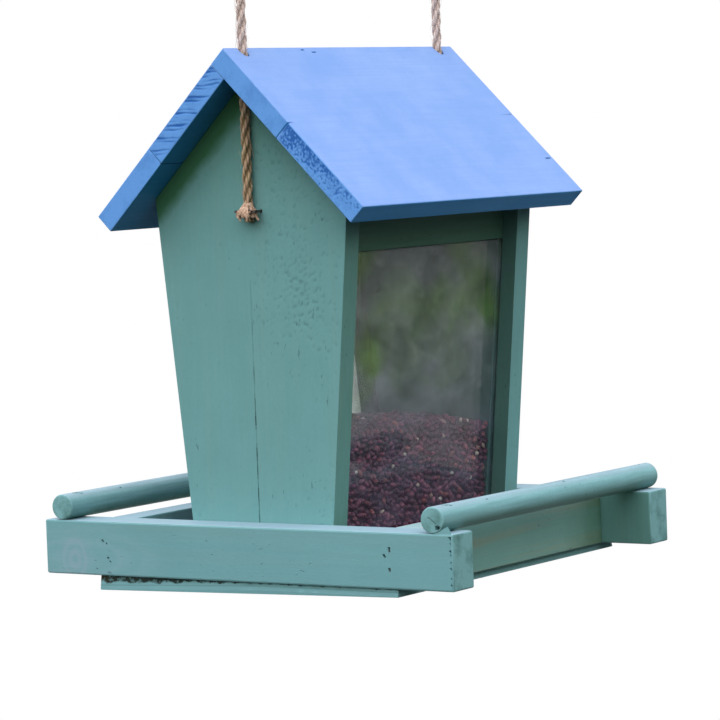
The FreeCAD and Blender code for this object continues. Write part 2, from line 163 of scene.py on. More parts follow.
def work_out_place(tree, operation, first, second=(0, 0, 0)):
    """Node for a sum with one or two places."""
    return add(tree, "ShaderNodeVectorMath", {0: first, 1: second}, operation=operation)


def times(tree, first, second):
    return work_out(tree, "MULTIPLY", first, second)


def fleck(tree, place, scale, detail=3.0, roughness=0.5, distortion=0.0):
    """Noise of a given scale, in patches per metre."""
    fill = {"Vector": place, "Scale": scale, "Detail": detail, "Roughness": roughness,
            "Distortion": distortion}
    return add(tree, "ShaderNodeTexNoise", fill).outputs["Fac"]


def stretched(tree, place, scale, rotation=(0, 0, 0)):
    """Place with its axes squeezed, so that noise is drawn out along them."""
    fill = {"Vector": place, "Scale": scale, "Rotation": rotation}
    return add(tree, "ShaderNodeMapping", fill).outputs["Vector"]


print("helpers for patterns are ready")

# %% [markdown]
# ## Coats and shaders
# A finish grows as it does in a workshop, coat over coat, and ends in one shader. A coat covers the
# colour below it where a pattern says so. Bumps only tilt the light on a surface, so they are kept for
# what is too fine to model, such as the fibres in the paint.

# %% Coat helpers
def laid_over(tree, colour, coat, pattern, low, high, share=1.0):
    """Colour with a second coat on it, up to a share, where a pattern rises from low to high."""
    return mix(tree, spread(tree, pattern, low, high, 0.0, share), colour, coat)


def bumps(tree, height, distance, strength):
    """Normal for a shader, tilted as if the surface had this height."""
    fill = {"Height": height, "Distance": distance, "Strength": strength}
    return add(tree, "ShaderNodeBump", fill).outputs["Normal"]


def show(tree, shader):
    add(tree, "ShaderNodeOutputMaterial", {"Surface": shader.outputs[0]})


def show_surface(tree, colour, roughness, gloss, normal=None):
    """End a material in one shader with a colour, a roughness, a gloss and, if given, bumps."""
    fill = {"Base Color": colour, "Roughness": roughness, "Specular IOR Level": gloss}
    if normal is not None:
        fill["Normal"] = normal
    show(tree, add(tree, "ShaderNodeBsdfPrincipled", fill))


print("helpers for coats are ready")

# %% [markdown]
# ## Paint over pine
# The boards are sawn pine under one thin coat of matt paint. The coat sinks into the grain, so it shows
# long faint streaks, cloudy patches where it is thicker, and bare wood where it is thin. One rail has a
# knot, whose rings shine through. A ring is a sine wave of the distance from the knot, and noise makes
# it uneven.

# %% Coat and knot
ALONG_X, ALONG_Y, ALONG_Z = 0, 1, 2
BARE_PINE = screen(182, 162, 122)
KNOT_PLACE = (-0.103, 0.102, 0.012)


def knot_rings(tree, place, stretch, spacing, reach_out):
    """Uneven rings round the knot, drawn out by a stretch, that fade at some distance from it."""
    shifted = work_out_place(tree, "SUBTRACT", place, KNOT_PLACE).outputs["Vector"]
    drawn = work_out_place(tree, "MULTIPLY", shifted, stretch).outputs["Vector"]
    reach = work_out_place(tree, "LENGTH", drawn).outputs["Value"]
    swirl = times(tree, fleck(tree, place, 80, 2, 0.5), 8.0)
    turn = work_out(tree, "ADD", times(tree, reach, math.tau / spacing), swirl)
    rings = spread(tree, work_out(tree, "SINE", turn), -0.8, 1.0, 0.35, 1.0)
    return times(tree, rings, spread(tree, reach, 0.5 * reach_out, reach_out, 1.0, 0.0))


def show_knot(tree, place, colour):
    """Pale rings of the knot, and longer flames of grain beside it."""
    flames = knot_rings(tree, place, (1, 0.3, 1), 5.5 * MM, 19 * MM)
    rings = knot_rings(tree, place, (1, 1, 0.75), 4.6 * MM, 12 * MM)
    colour = mix(tree, times(tree, flames, 0.45), colour, screen(142, 178, 188))
    return mix(tree, times(tree, rings, 0.62), colour, screen(148, 174, 188))


def coat_colour(tree, place, grain, streaks, coat, deep, streaky, cloudy, thin):
    """Colour of the coat itself: streaks, clouds, and bare wood where it is thin."""
    colour = laid_over(tree, coat, deep, streaks, 0.3, 0.75, streaky)
    colour = laid_over(tree, colour, deep, fleck(tree, place, 30, 4, 0.6), 0.3, 0.7, cloudy)
    return laid_over(tree, colour, BARE_PINE, fleck(tree, grain, 120, 3, 0.5), 0.5, 0.7, thin)


print("knot at", KNOT_PLACE)

# %% [markdown]
# ## Weather
# Years outdoors change the paint from place to place, and light and shade are painted in with it. What
# looks up gets a pale painted sky sheen, the gables get dark green painted shade under the roof and a
# painted shadow strip under the rear slope, moss grows below the perches, and the corners of the tray
# get painted shade. The place of a point and the way its face looks tell the material which of these it is.

# %% Weather
# Pale lavender painted sky sheen for faces that look up.
SKY_SHEEN, SKY_SHEEN_SHARE = screen(178, 172, 196), 0.34
# Dark green painted shade on the gables under the roof.
ROOF_SHADE_GREEN = screen(50, 102, 62)
# Moss green, also used as painted shade in the tray's corners; the rear-slope green is a painted shadow.
MOSS_AND_SHADE_GREEN, ROOF_SHADOW_GREEN = screen(72, 112, 74), screen(58, 108, 70)
GABLE_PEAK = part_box("near_gable_rear_plank")[1].z
# Height and ragged edge of the painted shadow strip under the rear slope.
SHADOW_STRIP_FROM, SHADOW_STRIP_TO, SHADOW_STRIP_RAGGED = 11 * MM, 19 * MM, 6 * MM
ROOF_SHADE_FROM, ROOF_SHADE_TO, ROOF_SHADE_LEAN = 0.15, 0.25, 0.3
CORNER_SHADE_FROM, RAIL_INSIDE = 0.045, 0.0845


def roof_shadow_strip(tree, place, axes):
    """Share of the painted dark green shadow in the strip just under the rear slope, which has a ragged
    lower edge.
    """
    below = work_out(tree, "SUBTRACT", GABLE_PEAK, work_out(tree, "ADD", axes["Y"], axes["Z"]))
    ragged = work_out(tree, "ADD", below, times(tree, fleck(tree, place, 150, 3), SHADOW_STRIP_RAGGED))
    return spread(tree, ragged, SHADOW_STRIP_FROM, SHADOW_STRIP_TO, 0.9, 0.0)


def weathered(tree, place, colour, roof_shade, mossy, corner_shade):
    """Weathered colour with painted light: sky sheen on top, shade under the roof and in the tray's
    corners.
    """
    axes = axes_of(tree, place)
    upward = axes_of(tree, add(tree, "ShaderNodeNewGeometry").outputs["Normal"])["Z"]
    if roof_shade:
        # Painted shade: darker and greener towards the roof, more so at the rear.
        rearward = work_out(tree, "ADD", axes["Z"], times(tree, axes["Y"], ROOF_SHADE_LEAN))
        roof_shade_share = work_out(tree, "POWER", spread(tree, rearward, ROOF_SHADE_FROM, ROOF_SHADE_TO), 2.0)
        colour = mix(tree, times(tree, roof_shade_share, roof_shade), colour, ROOF_SHADE_GREEN)
        # Painted shadow of the rear slope: a dark green strip on the gable under it.
        colour = mix(tree, roof_shadow_strip(tree, place, axes), colour, ROOF_SHADOW_GREEN)
    # Painted shade in the tray's corners: faces near the rails that don't look up get darker.
    if corner_shade:
        from_middle = work_out(tree, "ABSOLUTE", axes["X"])
        to_rail = spread(tree, from_middle, CORNER_SHADE_FROM, RAIL_INSIDE, 0.0, corner_shade)
        corner_shade_share = times(tree, to_rail, spread(tree, fleck(tree, place, 30), 0.2, 0.6))
        colour = mix(tree, times(tree, corner_shade_share, spread(tree, upward, 0.3, 0.7, 1.0, 0.0)), colour, MOSS_AND_SHADE_GREEN)
    if mossy:
        colour = laid_over(tree, colour, MOSS_AND_SHADE_GREEN, upward, -0.1, -0.8, mossy)
    # Painted sky sheen: faces that look up get a pale lavender highlight.
    return laid_over(tree, colour, SKY_SHEEN, upward, 0.5, 1.0, SKY_SHEEN_SHARE)


print("gable peak at", round(GABLE_PEAK, 4))

# %% [markdown]
# ## Painted wood
# One function makes every coat in this lesson. Noise that is squeezed along the board gives its streaks,
# less squeezed noise the fuzz of raised fibres and the specks where the brush missed a pore. Three
# values from the mesh steer it: edge_wear on rounded edges, pit in a dimple and hole in a dent.

# %% Painted wood
PAINT_GLOSS = 0.06
GRAIN_SQUEEZE, FUZZ_SQUEEZE = 0.045, 0.35


def along_board(tree, place, along, squeeze):
    """Place squeezed along the board, so that noise is drawn out that way."""
    scale = [1.0, 1.0, 1.0]
    scale[along] = squeeze
    return stretched(tree, place, scale)


def painted_wood(name, coat, deep, along, pores=0.5, thin=0.04, streaky=0.6, knot=False, roof_shade=0.0,
                 cloudy=0.5, mossy=0.0, corner_shade=0.0):
    """Thin matt paint on a board whose grain runs along one axis."""
    material, tree = new_material(name)
    place = object_place(tree)
    grain = along_board(tree, place, along, GRAIN_SQUEEZE)
    short = along_board(tree, place, along, FUZZ_SQUEEZE)
    streaks = fleck(tree, grain, 520, 5, 0.6, 0.3)
    fuzz = fleck(tree, short, 1500, 2, 0.6)
    crowded = spread(tree, fleck(tree, place, 22, 2), 0.5, 0.6, 0.0, pores)
    specks = times(tree, spread(tree, fleck(tree, short, 620, 2, 0.5), 0.67, 0.73), crowded)
    rubbed = spread(tree, fleck(tree, grain, 240, 4), 0.4, 0.7, 0.0, 0.3)

    colour = coat_colour(tree, place, grain, streaks, coat, deep, streaky, cloudy, thin)
    colour = laid_over(tree, colour, deep, fuzz, 0.35, 0.7, 0.35)
    colour = mix(tree, times(tree, stored(tree, "edge_wear"), rubbed), colour, shade(coat, 1.15))
    if knot:
        colour = show_knot(tree, place, colour)
    colour = weathered(tree, place, colour, roof_shade, mossy, corner_shade)
    # Painted shade: dimples darker by depth, dents nearly black; open joints use the same hole value.
    colour = mix(tree, times(tree, stored(tree, "pit"), 0.25), colour, shade(deep, 0.3))
    colour = mix(tree, specks, colour, shade(deep, 0.2))
    colour = mix(tree, stored(tree, "hole"), colour, shade(deep, 0.08))
    relief = work_out(tree, "SUBTRACT", times(tree, streaks, 0.3), specks)
    relief = work_out(tree, "ADD", relief, times(tree, fuzz, 0.35))
    roughness = spread(tree, streaks, 0.2, 0.8, 0.5, 0.7)
    show_surface(tree, colour, roughness, PAINT_GLOSS, bumps(tree, relief, 0.35 * MM, 0.5))
    return material


print("paint for boards is ready")

# %% [markdown]
# ## The coats
# Every board has the same green or blue paint, but the weather has changed it from place to place. The
# tray is bluer than the house, the front cross board has lost most of its coat, and what the sky can't
# see gets a darker copy of the paint: painted shade.

# %% Coats
GREEN, GREEN_DEEP = screen(120, 170, 171), screen(108, 156, 157)
TRAY_GREEN, TRAY_DEEP = screen(124, 174, 180), screen(113, 161, 167)
BLUE, BLUE_DEEP = screen(134, 166, 221), screen(106, 149, 214)
green_y = painted_wood("green_paint_along_y", TRAY_GREEN, TRAY_DEEP, ALONG_Y, streaky=0.4)
green_knot = painted_wood("green_paint_with_knot", TRAY_GREEN, TRAY_DEEP, ALONG_Y, streaky=0.4, knot=True)
green_z = painted_wood("green_paint_along_z", GREEN, GREEN_DEEP, ALONG_Z, pores=0.4, streaky=0.35,
                       roof_shade=0.72)
green_thin = painted_wood("thin_green_paint", screen(138, 187, 181), screen(124, 171, 165), ALONG_X,
                          thin=0.5, corner_shade=0.75)
green_x = painted_wood("green_paint_along_x", TRAY_GREEN, TRAY_DEEP, ALONG_X, streaky=0.4)
green_dowel = painted_wood("green_paint_on_dowel", screen(142, 191, 198), screen(107, 152, 155), ALONG_X,
                           pores=0.3, streaky=0.9, mossy=0.45)
# Darker damp green: damp on the rails' inner faces, painted shade of the eave on the near gable's front
# edge.
green_damp_and_shaded = painted_wood("damp_green_paint", screen(106, 152, 147), screen(94, 138, 131), ALONG_Z)
# Darker green for the headers: painted shade of the eaves.
green_shaded = painted_wood("dark_green_paint", screen(88, 128, 112), screen(76, 114, 100), ALONG_X)
# Darker green for the gables' inner faces: painted shade.
green_shaded_inside = painted_wood("green_paint_inside", screen(86, 122, 116), screen(76, 110, 104), ALONG_Z)
blue_x = painted_wood("blue_paint_along_x", BLUE, BLUE_DEEP, ALONG_X, pores=0.1, thin=0.0, cloudy=1.0)
# Darker blue for the roof's underside: painted shade.
blue_shaded_under = painted_wood("blue_paint_underneath", screen(54, 134, 182), screen(48, 121, 167), ALONG_X,
                          thin=0.0)
# More saturated blue for the eave's lower edge: painted shade.
blue_shaded_eave = painted_wood("blue_paint_on_eave", screen(82, 166, 236), screen(70, 152, 222), ALONG_X,
                         thin=0.0)
print("painted wood for green and blue boards")

# %% [markdown]
# ## Sawn ends
# The saw tears the end grain into pits. On the roof two of the four planks are torn and the other two
# are smooth. The torn faces are real geometry, made further down, and each point stores how deep it lies
# in an attribute named pit. The material paints the pits darker by that depth: painted shade.

# %% Sawn ends
def sawn_end(name, coat, smudge_and_pit_shade, smudged):
    """Painted end grain: blotchy, with painted shade in the pits that the mesh stores."""
    material, tree = new_material(name)
    place = object_place(tree)
    fine = fleck(tree, place, 900, 3, 0.6)
    colour = laid_over(tree, coat, smudge_and_pit_shade, fleck(tree, place, 90, 4, 0.6), 0.48, 0.72, smudged)
    colour = laid_over(tree, colour, smudge_and_pit_shade, fine, 0.58, 0.72, 0.3)
    # Painted shade: pits darker by their depth, dents nearly black.
    colour = mix(tree, stored(tree, "pit"), colour, smudge_and_pit_shade)
    colour = mix(tree, stored(tree, "hole"), colour, shade(smudge_and_pit_shade, 0.2))
    show_surface(tree, colour, 0.7, PAINT_GLOSS, bumps(tree, fine, 0.3 * MM, 0.4))
    return material


green_end = sawn_end("green_sawn_end", screen(130, 178, 182), screen(62, 100, 92), 0.7)
blue_end = sawn_end("blue_sawn_end", screen(109, 166, 237), screen(52, 104, 182), 0.3)
print("sawn ends", green_end.name, blue_end.name)

# %% [markdown]
# ## The hanging rope
# The rope is a limp 5 mm jute cord of three strands. It runs from a staple on the near gable, through
# the roof, over a bough and down to the far gable, and the feeder's weight keeps its strands straight.
# The route's few points are the frame's own, on one smooth NURBS line, with an extra point on each long
# straight strand. The line is read back as closely spaced points, and the yarns wind round it.

# %% Rope line
ROPE_X, ROPE_Y = 0.0876, -0.001
ROPE_FOOT, ARCH_FOOT, ARCH_SIDE, ARCH_TOP = 0.177, 0.29626, 0.36883, 0.420149
ARCH_HALF = 0.036285
ROPE_ROUTE = [
    (-ROPE_X, ROPE_Y, ROPE_FOOT), (-ROPE_X, ROPE_Y, ARCH_FOOT), (-ROPE_X, ROPE_Y, ARCH_SIDE),
    (-ARCH_HALF, ROPE_Y, ARCH_TOP), (ARCH_HALF, ROPE_Y, ARCH_TOP),
    (ROPE_X, ROPE_Y, ARCH_SIDE), (ROPE_X, ROPE_Y, ARCH_FOOT), (ROPE_X, ROPE_Y, ROPE_FOOT)]
LINE_RESOLUTION = 256
LINE_STEP = 0.8 * MM


def smooth_line(route):
    """Points along the NURBS line of a route, no closer than the line's step."""
    curve = bpy.data.curves.new("rope_line", "CURVE")
    curve.dimensions = "3D"
    curve.resolution_u = LINE_RESOLUTION
    spline = curve.splines.new("NURBS")
    spline.points.add(len(route) - 1)
    for point, place in zip(spline.points, route):
        point.co = (*place, 1)
    spline.order_u = 3
    spline.use_endpoint_u = True
    spline.resolution_u = LINE_RESOLUTION
    holder = bpy.data.objects.new("rope_line", curve)
    mesh = bpy.data.meshes.new_from_object(holder)
    line = [mesh.vertices[0].co.copy()]
    for vertex in mesh.vertices:
        if (vertex.co - line[-1]).length >= LINE_STEP:
            line.append(vertex.co.copy())
    bpy.data.objects.remove(holder)
    bpy.data.meshes.remove(mesh)
    return line


rope_line = smooth_line(ROPE_ROUTE)
print("rope line of", len(rope_line), "points")

# %% [markdown]
# ## Jute
# Jute is a dull golden brown fibre that greys in the rain, so the rope is greyer above the roof than
# under it. Each yarn is a bundle of fine threads, so the material is streaked along the rope and has no
# gloss. The rope stores where its strands' crowns are, and the grooves between them get a darker colour:
# painted shade.

# %% Jute material
RAIN_FROM, RAIN_TO = 0.225, 0.265
jute, tree = new_material("jute_fibre")
place = object_place(tree)
threads = fleck(tree, stretched(tree, place, (1, 1, 0.25)), 1600, 3, 0.6)
crown = stored(tree, "crown")
dry = laid_over(tree, screen(168, 136, 101), screen(240, 208, 172), threads, 0.3, 0.7)
dry = laid_over(tree, dry, screen(206, 164, 146), fleck(tree, place, 160, 2), 0.35, 0.7, 0.6)
# Painted shade: the grooves between the strands get a darker colour.
dry = mix(tree, crown, screen(116, 98, 68), dry)
greyed = mix(tree, threads, screen(208, 183, 175), screen(246, 228, 221))
greyed = mix(tree, crown, screen(198, 174, 164), greyed)
jute_colour = laid_over(tree, dry, greyed, axes_of(tree, place)["Z"], RAIN_FROM, RAIN_TO, 0.95)
show_surface(tree, jute_colour, 0.9, 0.15, bumps(tree, threads, 0.3 * MM, 0.7))
print("jute", jute.name)

# %% [markdown]
# ## From mesh to piece
# Every new piece rides on one of the frame's bodies, stands for the CAD nodes that it hides, and takes
# its materials. Its faces are shaded smooth, but an edge that turns by more than a given angle stays
# sharp.

# %% Piece helper
BOARD_ANGLE, ROUND_ANGLE = 20, 60


def to_piece(name, mesh, body, replaced, materials, flat_angle=BOARD_ANGLE):
    """Object that rides on a body, hides the CAD nodes it stands for, and takes its materials."""
    for material in materials:
        mesh.materials.append(material)
    mesh.polygons.foreach_set("use_smooth", [True] * len(mesh.polygons))
    mesh.set_sharp_from_angle(angle=math.radians(flat_angle))
    piece = bpy.data.objects.new(name, mesh)
    scene.collection.objects.link(piece)
    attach(piece, body)
    if replaced:
        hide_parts(*replaced)
    print(name, len(mesh.polygons), "faces")
    return piece


# %% [markdown]
# ## Threads
# A yarn or a loose fibre is a poly curve with a round bevel, and each of its points has a radius of its
# own, so a thread can taper. A curve turns into a mesh as soon as all of its threads are in it.

# %% Thread helpers
def add_thread(curve, places, radii):
    """One thin round thread through the given places."""
    spline = curve.splines.new("POLY")
    spline.points.add(len(places) - 1)
    for point, place, radius in zip(spline.points, places, radii):
        point.co = (*place, 1)
        point.radius = radius


def new_thread_curve(name, radius):
    curve = bpy.data.curves.new(name, "CURVE")
    curve.dimensions = "3D"
    curve.bevel_depth = radius
    curve.bevel_resolution = 1
    curve.use_fill_caps = True
    return curve


def mesh_of(curve):
    holder = bpy.data.objects.new(curve.name, curve)
    mesh = bpy.data.meshes.new_from_object(holder)
    bpy.data.objects.remove(holder)
    return mesh


print("helpers for threads are ready")

# %% [markdown]
# ## Yarns
# Three strands of three yarns each turn round the line, over a plain core that fills the gaps. The yarns
# of a strand turn against the strands, which keeps a laid rope from opening.

# %% Yarns
STRANDS, YARNS = 3, 3
STRAND_TURN, YARN_TURN = 26 * MM, 12 * MM
STRAND_REACH, YARN_REACH, YARN_RADIUS = 1.22 * MM, 0.6 * MM, 0.74 * MM
SIDEWAYS = Vector((0, 1, 0))


def around(line, number):
    """Two directions square to the line at one of its points."""
    ahead = line[min(number + 1, len(line) - 1)] - line[max(number - 1, 0)]
    return ahead.normalized().cross(SIDEWAYS).normalized(), SIDEWAYS


def ring_place(out, side, angle, reach):
    return (out * math.cos(angle) + side * math.sin(angle)) * reach


run = [0.0]
for before, after in zip(rope_line, rope_line[1:]):
    run.append(run[-1] + (after - before).length)
rope_curve = new_thread_curve("hanging_rope_yarns", YARN_RADIUS)
for strand in range(STRANDS):
    for yarn in range(YARNS):
        places = []
        for number, centre in enumerate(rope_line):
            out, side = around(rope_line, number)
            turn = math.tau * (strand / STRANDS - run[number] / STRAND_TURN)
            twist = math.tau * (yarn / YARNS + run[number] / YARN_TURN)
            places.append(centre + ring_place(out, side, turn, STRAND_REACH)
                          + ring_place(out, side, twist, YARN_REACH))
        add_thread(rope_curve, places, [1.0] * len(places))

# %% [markdown]
# ## Loose fibres and the finished rope
# Jute is hairy: short fibres stand off the rope on all sides. They are thin threads of three points in
# the same curve, placed by chance. The core comes last, and the whole rope then becomes one mesh. Each
# of its points stores how far out it lies, from 0 in a groove to 1 on a crown.

# %% Rope
CORE_SHARE = 2.1
GROOVE_REACH, GROOVE_DEPTH = 1.7 * MM, 0.7 * MM
LOOSE_FIBRES, FIBRE_STEPS = 520, 12
FIBRE_FOOT, LEAST_LIFT, MOST_LIFT = 2.2 * MM, 2.7, 4.0
FIBRE_RADII = [0.12, 0.09, 0.04]
chance = random.Random(11)


def clip(value):
    """Value held between 0 and 1."""
    return min(1.0, max(0.0, value))


def store_crowns(mesh, line):
    """Store how far each point of the rope lies from its line, for the material."""
    line_tree = KDTree(len(line))
    for number, centre in enumerate(line):
        line_tree.insert(centre, number)
    line_tree.balance()
    crown_share = mesh.attributes.new("crown", "FLOAT", "POINT")
    for vertex in mesh.vertices:
        reach = line_tree.find(vertex.co)[2]
        crown_share.data[vertex.index].value = clip((reach - GROOVE_REACH) / GROOVE_DEPTH)


for fibre in range(LOOSE_FIBRES):
    number = chance.randrange(4, len(rope_line) - FIBRE_STEPS - 2)
    centre = rope_line[number]
    out, side = around(rope_line, number)
    angle, lift = chance.uniform(0, math.tau), chance.uniform(LEAST_LIFT, MOST_LIFT) * MM
    ahead = (rope_line[number + FIBRE_STEPS] - centre) * chance.choice((-1, 1)) * chance.uniform(0.2, 0.8)
    foot = centre + ring_place(out, side, angle, FIBRE_FOOT)
    middle = centre + ahead * 0.5 + ring_place(out, side, angle + 0.3, (FIBRE_FOOT + lift) / 2)
    tip = centre + ahead + ring_place(out, side, angle + chance.uniform(-0.5, 0.9), lift)
    add_thread(rope_curve, [foot, middle, tip], FIBRE_RADII)
add_thread(rope_curve, rope_line, [CORE_SHARE] * len(rope_line))
rope_mesh = mesh_of(rope_curve)
store_crowns(rope_mesh, rope_line)
rope = to_piece("laid_rope", rope_mesh, "feeder", ["hanging_rope"], [jute], ROUND_ANGLE)

# %% [markdown]
# ## Frayed ends
# Each end of the rope is pinched by a wire staple, and the cut yarns below it have sprung apart into a
# tuft that half hides the staple. Short tapering threads start inside the rope above the staple, pass
# under its crown, and curl outwards and up.

# %% Frayed ends
TUFT_THREADS, TUFT_RADIUS = 54, 0.62 * MM
OVER_STAPLE = 0.72
STAPLE_HEIGHT = (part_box("near_rope_staple")[0].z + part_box("near_rope_staple")[1].z) / 2
frayed_jute, tree = new_material("frayed_jute")
tufts = fleck(tree, object_place(tree), 900, 3, 0.6)
tuft_colour = laid_over(tree, screen(172, 134, 112), screen(236, 202, 178), tufts, 0.35, 0.65)
show_surface(tree, tuft_colour, 0.95, 0.1)


def frayed_end(name, end):
    """Tuft at one end of the rope; end is -1 at the near gable and 1 at the far one."""
    curve = new_thread_curve(name, TUFT_RADIUS)
    middle = Vector((end * ROPE_X, ROPE_Y, STAPLE_HEIGHT))
    for thread in range(TUFT_THREADS):
        fan = chance.uniform(-1, 1)
        over = abs(fan) < OVER_STAPLE and thread % 2 == 0
        drop = chance.uniform(0.3, 1.0)
        deep = 4.3 if over else chance.uniform(-1.6, 1.8)
        # Millimetres from the middle of the staple: out of the gable, to the side and up
        start = Vector((chance.uniform(-0.5, 1.8), 1.3 * fan, 4.2))
        pinch = Vector((deep * 0.9, 2.9 * fan, 0.9))
        spring = Vector((deep * 0.9 + 0.6, 4.8 * fan + 0.3, -2.6 * drop))
        tip = Vector((deep * 0.75 + chance.uniform(-0.2, 1.4), 5.2 * fan + chance.uniform(-1.0, 0.6),
                      -5.0 * drop + chance.uniform(0.0, 2.4)))
        places = [middle + Vector((end * at.x, at.y, at.z)) * MM for at in (start, pinch, spring, tip)]
        add_thread(curve, places, [0.8, 1.1, 1.2, chance.uniform(0.4, 1.0)])
    return to_piece(name, mesh_of(curve), "feeder", [], [frayed_jute], ROUND_ANGLE)


near_fray = frayed_end("near_rope_fray", -1)
far_fray = frayed_end("far_rope_fray", 1)

# %% [markdown]
# ## Tools for boards
# A board starts as a block from its corners, or as a copy of its CAD node. The copy is loose triangles,
# so its points are merged and its flat faces joined first.

# %% Blocks and copies
FLAT = math.radians(0.5)
MERGE_REACH = 0.002 * MM


def block(low, high):
    """Plain block between two corners."""
    bm = bmesh.new()
    bmesh.ops.create_cube(bm, size=1)
    bmesh.ops.scale(bm, vec=high - low, verts=bm.verts)
    bmesh.ops.translate(bm, vec=(low + high) / 2, verts=bm.verts)
    return bm


def copy_of(node):
    """Copy of a CAD node with merged points and whole flat faces."""
    bm = bmesh.new()
    bm.from_mesh(nodes[node].data)
    bmesh.ops.remove_doubles(bm, verts=bm.verts, dist=MERGE_REACH)
    bmesh.ops.dissolve_limit(bm, angle_limit=FLAT, verts=bm.verts, edges=bm.edges)
    return bm


print("points within", MERGE_REACH, "m are merged")

# %% [markdown]
# ## Edges and ends
# A sandpapered and painted edge is a little round and catches the light. A bevel rounds the sharp outer
# edges, and its new faces store that they are worn. The faces that look along the board get the sawn
# material, and the finished board stands for its CAD node.

# %% Eased boards
SHARP = math.radians(25)
# Least share of a face's normal in a direction that the face looks in
SQUARELY, ROUGHLY = 0.99, 0.9


def value_layer(parts, name):
    """Layer for a value that each face or point stores, made if it isn't there yet."""
    return parts.layers.float.get(name) or parts.layers.float.new(name)


def soften(bm, width, choose=None):
    """Round the sharp outer edges and mark the new faces as worn."""
    wear = value_layer(bm.faces, "edge_wear")
    bm.normal_update()
    edges = [edge for edge in bm.edges if edge.is_manifold and edge.calc_face_angle_signed(0) > SHARP]
    if choose:
        edges = [edge for edge in edges if choose(edge)]
    rounded = bmesh.ops.bevel(bm, geom=edges, offset=width, offset_type="OFFSET", segments=2, profile=0.5,
                              affect="EDGES", material=-1, clamp_overlap=True)
    for face in rounded["faces"]:
        face[wear] = 1.0


def mark_ends(bm, axis):
    """Give the faces that look along the board its second material."""
    bm.normal_update()
    for face in bm.faces:
        if abs(face.normal[axis]) > ROUGHLY:
            face.material_index = 1


def board_piece(bm, node, body, materials):
    """Finish a board that stands for one CAD node."""
    mesh = bpy.data.meshes.new("painted_" + node)
    bm.to_mesh(mesh)
    bm.free()
    if "custom_normal" in mesh.attributes:
        mesh.attributes.remove(mesh.attributes["custom_normal"])
    return to_piece("painted_" + node, mesh, body, [node], materials)


print("edges sharper than", round(math.degrees(SHARP)), "degrees are rounded")

# %% [markdown]
# ## Cuts and dents
# A plane can cut some faces of a mesh and leave the rest. A row of such cuts divides a face into strips
# or, in two directions, into a grid whose points can move. Four cuts round a spot give a small face
# that is pushed in as a dent, and a stored value tells the paint to darken it nearly to black: painted
# shade in the hole.

# %% Cuts and dents
CUT_REACH, TOUCHING = 1e-7, 0.1 * MM


def cut_faces(bm, faces, place, direction):
    """Cut faces with the plane through a place, square to a direction, and return what they became."""
    parts = {part for face in faces for part in (face, *face.edges, *face.verts)}
    cut = bmesh.ops.bisect_plane(bm, geom=list(parts), dist=CUT_REACH, plane_co=place, plane_no=direction)
    return [part for part in cut["geom"] if isinstance(part, bmesh.types.BMFace)]


def slice_faces(bm, faces, direction, step):
    """Cut faces into strips across a direction and return the strips."""
    places = [vert.co.dot(direction) for face in faces for vert in face.verts]
    count = round((max(places) - min(places)) / step)
    for number in range(1, count):
        level = min(places) + (max(places) - min(places)) * number / count
        faces = cut_faces(bm, faces, direction * level, direction)
    return faces


def punch(bm, centre, normal, along, length, width, depth):
    """Press a small slot into the face under a point, and store it as a hole for painted shade."""
    hole = value_layer(bm.faces, "hole")
    bm.normal_update()
    under = [face for face in bm.faces if face.normal.dot(normal) > SQUARELY
             and abs((face.calc_center_median() - centre).dot(normal)) < TOUCHING]

    def holding(faces):
        """The faces that hold the point."""
        return [face for face in faces if bmesh.geometry.intersect_face_point(face, centre)]

    for axis, reach in ((along, length / 2), (normal.cross(along), width / 2)):
        for edge in (centre - axis * reach, centre + axis * reach):
            under = cut_faces(bm, holding(under), edge, axis)
    under = holding(under)
    bmesh.ops.inset_individual(bm, faces=under, thickness=width * 0.2, depth=-depth)
    for face in under:
        face[hole] = 1.0


print("cuts and dents are ready")

# %% [markdown]
# ## Marks on the rails
# The rails of the tray were stapled to its cross boards through their outer faces, and the staples have
# left small dark pairs of dents with nothing filled in. The front corner of a rail is chipped, and beside
# the perch a splinter has lifted off the near one. Dents and chips are punched into the face, and the
# splinter is the hull round a few points.

# %% Rail marks
DENT_DEPTH, CHIP_DEPTH, CHIP_INSET = 1.3 * MM, 0.7 * MM, 1.3 * MM
CHIP_LONG, CHIP_WIDE = 1.3, 0.9
CHIP_SLANT = Vector((0, 0.5, 0.87))
# Dents in a rail's outer face, in millimetres: place along Y, height, length and width; tilt in degrees
STAPLE_DENTS = [(84.3, 17.3, 1.5, 1.1, 60), (82.0, 16.0, 1.2, 0.9, 50), (81.4, 8.9, 1.3, 1.1, 40),
                (80.0, 7.1, 1.0, 0.8, 45), (-84.7, 18.7, 2.6, 1.4, 85), (-81.8, 15.7, 1.9, 1.4, 60),
                (-84.6, 9.2, 1.9, 1.4, 80)]
# Chips beside the front corner, in millimetres: height above the rail's foot and length
CORNER_CHIPS = [(25.0, 1.6), (22.6, 0.8), (18.9, 1.3), (17.2, 0.7), (14.0, 1.1), (10.8, 1.0), (6.4, 0.7),
                (3.2, 0.9)]
# Corners of the splinter in millimetres from the rail's front top corner
SPLINTER = [(0.5, 0.5, -1.0), (1.4, 0.7, -1.0), (0.2, 11.5, -0.7), (1.2, 9.0, -1.0), (0.8, 2.9, 3.6),
            (0.6, 4.4, 1.6), (0.7, 1.9, 2.3)]


def raise_splinter(bm, corner):
    """Lift a thin sliver off the rail's top edge, beside the perch."""
    points = [bm.verts.new(corner + Vector(place) * MM) for place in SPLINTER]
    bmesh.ops.convex_hull(bm, input=points)


